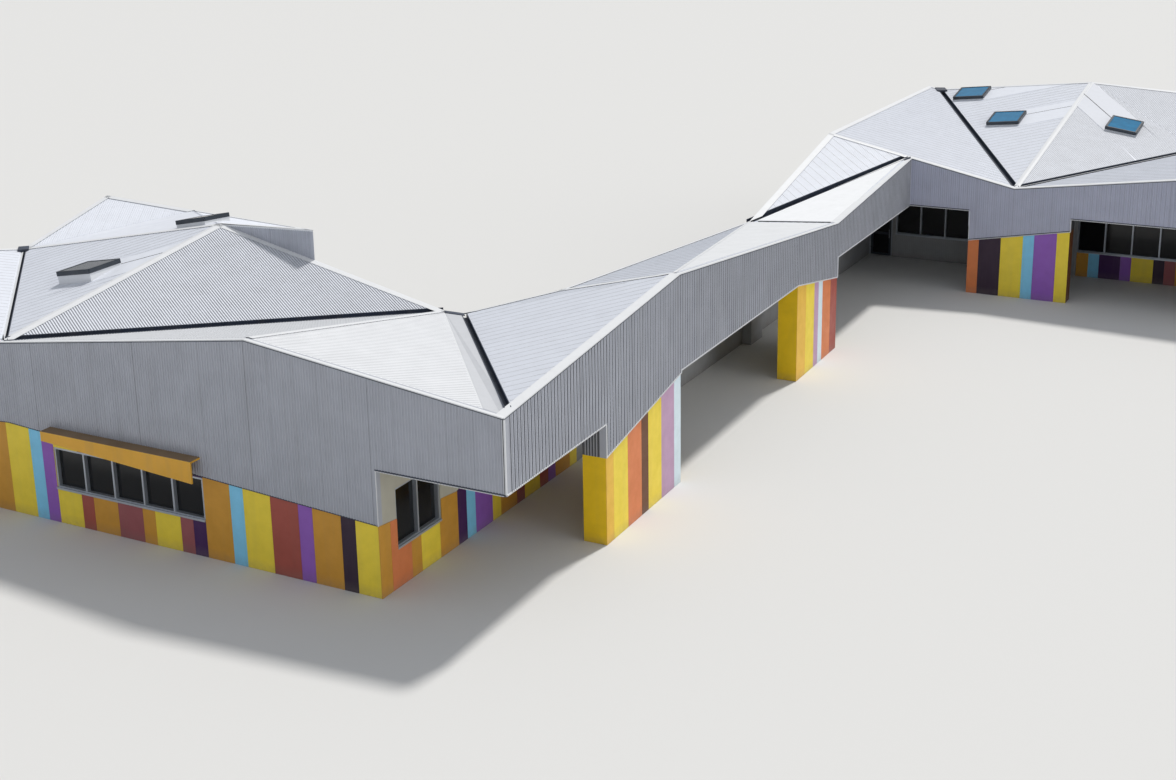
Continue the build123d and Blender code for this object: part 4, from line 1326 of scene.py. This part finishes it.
@dataclass
class Cladding:
    """Ribbed metal faces above the walls, and the plain walls."""

    pitch: float = 0.0432
    width: float = 0.020
    height: float = 0.0080
    wall_rib: Span = (0.024, 0.006)
    proud: float = 0.006
    upstand_cap: Span = (0.010, 0.026)
    upstand_drop: float = 0.018
    trim_gauge: float = 0.010
    line_gauge: float = 0.0105
    sunk: float = 0.002
    walk_trim: float = 0.022
    facade_trim: Span = (0.016, 0.032)
    panel_trim: Span = (0.012, 0.030)
    slant_line: Span = (0.0, 0.010)
    corner_trim: float = 0.024

    def build(self) -> None:
        """Make every piece on the claddings and the plain walls."""
        self.claddings()
        self.upstand_face()
        self.walls()
        self.trims()

    def claddings(self) -> None:
        """Dress the claddings and lay their ribs, every second one with a painted shade strip on its flank.
        """
        for node, facing, flat, rib in (
            ("front_cladding", FRONT, "front_cladding_sheet", "front_cladding_rib"),
            ("walk_fascia", WALK_OUT, "walkway_cladding_sheet", "walkway_cladding_rib"),
            ("facade_cladding", FRONT, "facade_cladding_sheet", "facade_cladding_rib"),
            ("roof_upstand", FRONT, "front_cladding_sheet", "front_cladding_rib"),
            ("pier_infills", FRONT, "infill_sheet", "infill_rib"),
        ):
            dress(flat, node)
            skin = RibbedSkin(node, facing, self.width, self.height, self.pitch, lap_shade=2)
            skin.build([rib, "cladding_painted_rib_shade"], "wall_metal")

    def walls(self) -> None:
        """Dress the plain walls and ceilings and lay the walls' ribs."""
        for number, (node, facing) in enumerate((
            ("left_end_wall", LEFT),
            ("left_back_wall", BACK),
            ("rear_walls", RIGHT),
            ("rear_walls", BACK),
            ("party_wall", LEFT),
            ("right_side_wall", LEFT),
            ("right_back_wall", BACK),
            ("right_end_wall", RIGHT),
            ("room_wall", FRONT),
        )):
            dress("plain_wall_sheet", node)
            skin = RibbedSkin(node, facing, *self.wall_rib, self.pitch, largest=1, mark=f"_{number}")
            skin.build(["plain_wall_rib"], "plain_wall")
        dress("plain_wall_sheet", "over_door_wall", "box_column")
        dress("ceiling_board", "walk_soffit", "verandah_soffit")

    def upstand_face(self) -> None:
        """Cover the upstand's face, from its cap down to the ridge below, with one ribbed sheet."""
        folds = Folds().sited()
        apex, top, low = folds.apex, folds.upstand_right, folds.sump_left
        length = top.x - apex.x
        foot = apex.lerp(low, length / (low.x - apex.x))
        drop = UP * -self.upstand_drop
        proud = FRONT * self.proud
        maker = MeshMaker("upstand_face")
        maker.slab([apex + drop, foot, top + drop], FRONT, ROOT, self.proud)
        for step in range(2, int(length / self.pitch)):
            part = step * self.pitch / length
            upper, lower = apex.lerp(top, part) + drop, apex.lerp(foot, part)
            if upper.z - lower.z > 0.01:
                # Every second rib in the lighter rib tone: painted highlight.
                maker.bar(lower + proud, upper + proud, RIGHT * self.width, proud, step % 2)
        depth, height = self.upstand_cap
        maker.bar(apex + FRONT * ROOT, top + FRONT * ROOT, FRONT * depth, UP * -height, 2)
        maker.finish(["front_cladding_rib", "front_cladding_sheet", "white_flashing"], "wall_metal")

    def trims(self) -> None:
        """Add the pale trims, and the dark lines of painted shadow under the claddings' lower edges."""
        walk = [
            (0.0, SOFFIT), (5.38, SOFFIT), (5.38, 2.53), (10.36, 3.40), (10.36, SOFFIT), (20.48, SOFFIT),
            (24.80, 2.72), (24.80, SOFFIT), (34.1, SOFFIT),
        ]
        facade = [
            (2.98, SOFFIT), (5.70, SOFFIT), (5.70, 2.23), (9.80, 2.97), (9.80, SOFFIT), (16.2, SOFFIT),
            (16.2, 2.97), (18.6, 2.54),
        ]
        panel = [(-22.7, 2.164), (-12.7, 2.77), (0.0, 2.0), (0.0, SOFFIT), (WALK_CORNER, SOFFIT)]
        maker = MeshMaker("cladding_trims")
        for (one, low), (two, high) in zip(walk, walk[1:]):
            side = BACK if one == two else UP
            self.trim(maker, on_walk(one, low), on_walk(two, high), WALK_OUT, self.walk_trim, side)
        for line, row, band in ((facade, FACADE_ROW, self.facade_trim), (panel, 0.0, self.panel_trim)):
            for (one, low), (two, high) in zip(line, line[1:]):
                start, end = site(one, row, low), site(two, row, high)
                trimmed = line is facade or low == SOFFIT or two == one
                if trimmed:
                    self.trim(maker, start, end, FRONT, band[0], RIGHT if one == two else UP)
                if two > one:
                    # Dark strip under the cladding's edge: painted shadow.
                    self.line(maker, start, end, FRONT, band if trimmed else self.slant_line)
        foot, head = site(WALK_CORNER, 0.0, SOFFIT), site(WALK_CORNER, 0.0, 5.44)
        self.trim(maker, foot, head, FRONT, self.corner_trim, LEFT)
        self.trim(maker, foot, head, WALK_OUT, self.corner_trim, WALK_RUN)
        maker.finish(["white_flashing", "gutter_sheet_and_painted_shadow"], "flashing_metal", 0.001)

    def line(self, maker: MeshMaker, start: Vector, end: Vector, out: Vector, band: Span) -> None:
        """Add one dark strip of painted shadow along the lower edge of a cladding.

        Args:
            maker: Mesh that takes it.
            start: One end of the edge.
            end: Other end of the edge.
            out: Direction that the face looks to.
            band: Heights of the strip's lower and upper sides over the edge, in model metres.
        """
        low, high = band
        lift = UP * low - out * self.sunk
        maker.bar(start + lift, end + lift, UP * (high - low), out * self.line_gauge, 1)

    def trim(
        self, maker: MeshMaker, start: Vector, end: Vector, out: Vector, width: float, side: Vector
    ) -> None:
        """Add one flat trim on a face, above its edge line or beside an upright one.

        Args:
            maker: Mesh that takes it.
            start: One end.
            end: Other end.
            out: Direction that the face looks to.
            width: Width of the trim in model metres.
            side: Side of the edge line that the trim lies on.
        """
        edge = (end - start).normalized()
        across = (side - edge * side.dot(edge)).normalized()
        back = out * self.sunk
        maker.bar(start - back, end - back, across * width, out * self.trim_gauge)


@dataclass
class Boards:
    """Every coloured board wall."""

    narrow: float = 0.45
    wide: float = 0.90

    def build(self) -> None:
        """Make the boards of the walls and piers."""
        self.front_and_side()
        self.walkway()
        self.facade()

    def front_and_side(self) -> None:
        """Board the left pavilion's front and side walls."""
        n, w, p = self.narrow, self.wide, Paint
        dress("cream_render", "front_wall", "side_wall")
        near = [
            (p.YELLOW, 0.71), (p.AUBERGINE, n), (p.ORANGE, w), (p.PURPLE, n), (p.RED_BROWN, w), (p.YELLOW, w),
            (p.LIGHT_BLUE, n), (p.ORANGE, w),
        ]
        under = [
            (p.DARK_PURPLE, n), (p.MAUVE_RED, n), (p.YELLOW, w), (p.ORANGE, n), (p.MAUVE_RED, w),
            (p.ORANGE, w), (p.RED_BROWN, n), (p.YELLOW, w),
        ]
        middle = [
            (p.PURPLE, n), (p.LIGHT_BLUE, n), (p.YELLOW, w), (p.ORANGE, w), (p.AUBERGINE, n),
            (p.SALMON, 1.13),
        ]
        far = [(p.ORANGE, n), (p.PURPLE, n), (p.YELLOW, 1.06)]
        BoardWall(
            "front_boards", "front_wall", FRONT, site(0.0, 0.0, 0.0), LEFT,
            near + under + middle + under[::-1] + far, cuts=(5.66, 11.06, 12.70, 14.34, 19.74),
        ).build()
        side = [
            (p.ORANGE, 0.50), (p.SALMON, w), (p.ORANGE, n), (p.YELLOW, w), (p.ORANGE, w), (p.DARK_PURPLE, n),
            (p.LIGHT_BLUE, n), (p.PURPLE, w), (p.YELLOW, n), (p.ORANGE, w), (p.MAUVE_RED, n), (p.YELLOW, w),
            (p.RED_BROWN, 0.5),
        ]
        BoardWall(
            "side_boards", "side_wall", RIGHT, site(0.0, 0.0, 0.0), BACK, side, cuts=(*SIDE_WINDOW, 3.65),
            roof_line=((0.0, 1.99), (3.65, 1.58), (8.65, 3.40)),
        ).build()
        corner = MeshMaker("corner_board")
        outline = [(0.0, 0.0), (0.495, 0.0), (0.495, 1.93), (0.0, 1.985)]
        corner.loft([site(-0.002, y, z) for y, z in outline], [site(0.020, y, z) for y, z in outline])
        corner.finish([p.ORANGE.finish()], "panel_board", SOFT_EDGE)

    def walkway(self) -> None:
        """Board the walkway's back wall and its two piers."""
        n, w, p = self.narrow, self.wide, Paint
        party = [(p.PURPLE, n), (p.ORANGE, w), (p.YELLOW, n)]
        BoardWall(
            "walk_wall_boards", "party_wall", RIGHT, site(0.0, 8.65, 0.0), BACK, party,
            roof_line=((0.0, 3.40), (1.80, 2.60)),
        ).build()
        dress(p.GOLD.finish(), "walk_piers")
        first = [
            (p.AMBER, 0.45), (p.YELLOW, w), (p.SALMON, w), (p.MAROON, n), (p.YELLOW, w), (p.LILAC, w),
            (p.PALE_BLUE, 0.48),
        ]
        second = [
            (p.AMBER, w), (p.YELLOW, w), (p.LILAC, n), (p.PALE_BLUE, n), (p.SALMON, w), (p.RED_BROWN, 0.72),
        ]
        for name, run, row in (("pier_one_boards", 5.38, first), ("pier_two_boards", 20.48, second)):
            BoardWall(name, "walk_piers", WALK_OUT, on_walk(run, 0.0), WALK_RUN, row).build()

    def facade(self) -> None:
        """Board the right pavilion's piers and the wall behind its verandah."""
        n, w, p = self.narrow, self.wide, Paint
        dress(p.MAROON.finish(), "facade_pier")
        dress(p.ORANGE.finish(), "end_pier")
        third = [
            (p.SALMON, n), (p.AUBERGINE, w), (p.YELLOW, w), (p.LIGHT_BLUE, n), (p.PURPLE, w),
            (p.YELLOW, 0.50),
        ]
        last = [(p.YELLOW, w), (p.PURPLE, n), (p.ORANGE, 1.05)]
        for node, x, row in (("facade_pier", 5.70, third), ("end_pier", 16.20, last)):
            wall = BoardWall(f"{node}_boards", node, FRONT, site(x, FACADE_ROW, 0.0), RIGHT, row)
            wall.build()
        room = [
            (p.ORANGE, 0.50), (p.LIGHT_BLUE, n), (p.DARK_PURPLE, 0.88), (p.PURPLE, n), (p.YELLOW, w),
            (p.AUBERGINE, n), (p.MAUVE_RED, n), (p.ORANGE, w), (p.PURPLE, n), (p.YELLOW, w),
            (p.LIGHT_BLUE, n), (p.SALMON, w), (p.AUBERGINE, 1.2),
        ]
        BoardWall(
            "room_boards", "room_wall", FRONT, site(9.27, ROOM_ROW, 0.0), RIGHT, room, cuts=(6.76,),
            roof_line=((0.0, SILL), (12.0, SILL)), thickness=0.012,
        ).build()


@dataclass
class Openings:
    """Windows, awnings and the entrance door."""

    sill_height: float = 0.030
    sill_inside: float = 0.03
    sill_depth: float = 0.045
    awning_level: float = 2.90
    awning_depth: float = 0.2
    handle_inset: float = 0.035
    handle_reach: float = 0.022
    handle_ends: Span = (0.42, 0.62)
    handle_posts: Span = (0.45, 0.59)
    handle_radii: Span = (0.005, 0.004)
    handle_face: Span = (0.011, 0.002)

    def build(self) -> None:
        """Dress the openings and add sills, awning tops and the door's handle."""
        dress("window_metal", "left_window_frames", "right_window_frames", "door_frame")
        dress("window_glass_tint", "window_glass", "door_glass")
        dress("dark_frame", "door_leaf")
        dress("awning_sheet", "awnings")
        self.sills()
        self.awning_tops()
        self.handle()

    def sills(self) -> None:
        """Add a projecting sill under each window."""
        lines = [(site(far, 0.0, SILL), site(near, 0.0, SILL), FRONT) for near, far in FRONT_WINDOWS]
        lines.append((site(0.0, SIDE_WINDOW[0], SILL), site(0.0, SIDE_WINDOW[1], SILL), RIGHT))
        for start, end in ((1.21, 5.73), (9.25, 16.03)):
            for row, out in ((ROOM_ROW, FRONT), (BACK_ROW, BACK)):
                lines.append((site(start, row, SILL), site(end, row, SILL), out))
        sills = MeshMaker("window_sills")
        for start, end, out in lines:
            shift = out * -self.sill_inside - UP * self.sill_height * 0.5
            sills.bar(start + shift, end + shift, out * self.sill_depth, UP * self.sill_height)
        sills.finish(["window_metal"], "window_metal", SOFT_EDGE)

    def awning_tops(self) -> None:
        """Cover the tops of the awnings with dark brown sheet, painted shade."""
        tops = MeshMaker("awning_tops")
        for near, far in FRONT_WINDOWS:
            start, end = site(far, 0.0, self.awning_level), site(near, 0.0, self.awning_level)
            tops.bar(start, end, FRONT * self.awning_depth, UP * 0.004)
        tops.finish(["awning_top"], "awning_metal")

    def handle(self) -> None:
        """Add the door's pull handle on its two posts."""
        low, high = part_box("door_leaf")
        face = low.y + self.handle_face[0]
        root = face + self.handle_face[1]
        across, front = high.x - self.handle_inset, face - self.handle_reach
        thick, thin = self.handle_radii
        handle = MeshMaker("door_handle")
        self.rod(handle, *(Vector((across, front, height)) for height in self.handle_ends), thick)
        for height in self.handle_posts:
            self.rod(handle, Vector((across, root, height)), Vector((across, front, height)), thin)
        handle.finish(["window_metal"], "window_metal", 0.0005, "door")

    @staticmethod
    def rod(maker: MeshMaker, start: Vector, end: Vector, radius: float, sides: int = 16) -> None:
        """Add a round rod.

        Args:
            maker: Mesh that takes it.
            start: One end.
            end: Other end.
            radius: Its radius in model metres.
            sides: Number of flats round it.
        """
        turn = (end - start).to_track_quat("Z", "Y").to_matrix()
        angles = [2 * math.pi * i / sides for i in range(sides)]
        ring = [turn @ Vector((math.cos(angle), math.sin(angle), 0.0)) * radius for angle in angles]
        maker.loft([start + point for point in ring], [end + point for point in ring])


@dataclass
class Studio:
    """Floor, light and camera."""

    focal: float = 49.327
    position: Vector = field(default_factory=lambda: site(22.2884, -30.4217, 18.4557))
    pitch: float = math.radians(15.912056)
    yaw: float = math.radians(28.054007)
    roll: float = math.radians(-0.973577)
    frame_width: float = 1176.0
    centre_row: float = 300.0
    middle_row: float = 390.0
    floor_reach: float = 160.0
    floor_drop: float = 0.002
    floor_tone: Colour = (0.66, 0.66, 0.655)
    sky: Colour = (0.90, 0.94, 1.0)
    sky_strength: float = 0.47
    backdrop: Colour = (0.76, 0.76, 0.75)

    def build(self) -> None:
        """Make the floor, the light and the camera."""
        self.floor()
        self.light()
        self.camera()

    def floor(self) -> None:
        """Lay a plain pale floor."""
        mesh = bpy.data.meshes.new("studio_floor")
        far = self.floor_reach
        mesh.from_pydata([(-far, -far, 0), (far, -far, 0), (far, far, 0), (-far, far, 0)], [], [(0, 1, 2, 3)])
        plane = bpy.data.objects.new("studio_floor", mesh)
        plane.location = (0.0, 0.0, -self.floor_drop)
        bpy.context.scene.collection.objects.link(plane)
        finish = Finish("studio_floor", self.floor_tone)
        material, nodes, shader = finish.start()
        nodes.wire(shader, {"Base Color": finish.tint(), "Roughness": 0.95})
        mesh.materials.append(material)
        plane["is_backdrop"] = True

    def light(self) -> None:
        """Set an even sky with a plain backdrop, one soft sun from behind and a wide fill."""
        world = bpy.data.worlds.new("studio_sky")
        world.use_nodes = True
        nodes = Nodes(world.node_tree)
        lit = world.node_tree.nodes["Background"]
        nodes.wire(lit, {"Color": (*self.sky, 1.0), "Strength": self.sky_strength})
        seen = nodes.add("ShaderNodeBackground", {"Color": (*self.backdrop, 1.0)})
        path = nodes.add("ShaderNodeLightPath")
        feed = {0: path.outputs["Is Camera Ray"], 1: lit.outputs[0], 2: seen.outputs[0]}
        mix = nodes.add("ShaderNodeMixShader", feed)
        nodes.wire(world.node_tree.nodes["World Output"], {"Surface": mix.outputs[0]})
        bpy.context.scene.world = world
        self.lamp("studio_sun", 2.7, 6.0, (1.0, 0.97, 0.92), Vector((0.10, 0.54, 0.83)))
        self.lamp("studio_fill", 0.48, 50.0, (1.0, 0.98, 0.93), Vector((0.95, 0.0, 0.30)))

    @staticmethod
    def lamp(name: str, energy: float, spread: float, colour: Colour, toward: Vector) -> None:
        """Hang one distant lamp.

        Args:
            name: Name of the lamp.
            energy: Its strength.
            spread: Its angle in degrees.
            colour: Its colour.
            toward: Direction from the building to the lamp.
        """
        data = bpy.data.lights.new(name, "SUN")
        data.energy = energy
        data.angle = math.radians(spread)
        data.color = colour
        lamp = bpy.data.objects.new(name, data)
        lamp.rotation_mode = "QUATERNION"
        lamp.rotation_quaternion = toward.to_track_quat("Z", "Y")
        bpy.context.scene.collection.objects.link(lamp)

    def camera(self) -> None:
        """Stand the camera where the photograph was taken."""
        level = math.cos(self.pitch)
        forward = Vector((-math.sin(self.yaw) * level, math.cos(self.yaw) * level, -math.sin(self.pitch)))
        right = Vector((math.cos(self.yaw), math.sin(self.yaw), 0.0))
        upward = right.cross(forward)
        side = right * math.cos(self.roll) + upward * math.sin(self.roll)
        top = upward * math.cos(self.roll) - right * math.sin(self.roll)
        data = bpy.data.cameras.new("view")
        data.sensor_width = 36.0
        data.lens = self.focal
        data.shift_y = (self.centre_row - self.middle_row) / self.frame_width
        data.clip_end = 500.0
        eye = bpy.data.objects.new("view", data)
        turn = Matrix((side, top, -forward)).transposed().to_4x4()
        eye.matrix_world = Matrix.Translation(self.position) @ turn
        bpy.context.scene.collection.objects.link(eye)
        bpy.context.scene.camera = eye


def main() -> None:
    """Build the looks of the whole building."""
    bpy.context.scene.view_settings.view_transform = "Standard"
    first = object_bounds()
    FRAME["box"] = first
    FRAME["finishes"] = make_palette(Effects())
    Roofs().build()
    Cladding().build()
    Boards().build()
    Openings().build()
    dress("room_floor", "left_floor", "right_floor")
    Studio().build()


if __name__ == "__main__":
    logging.basicConfig(level=logging.INFO, format="%(message)s")
    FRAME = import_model()
    main()
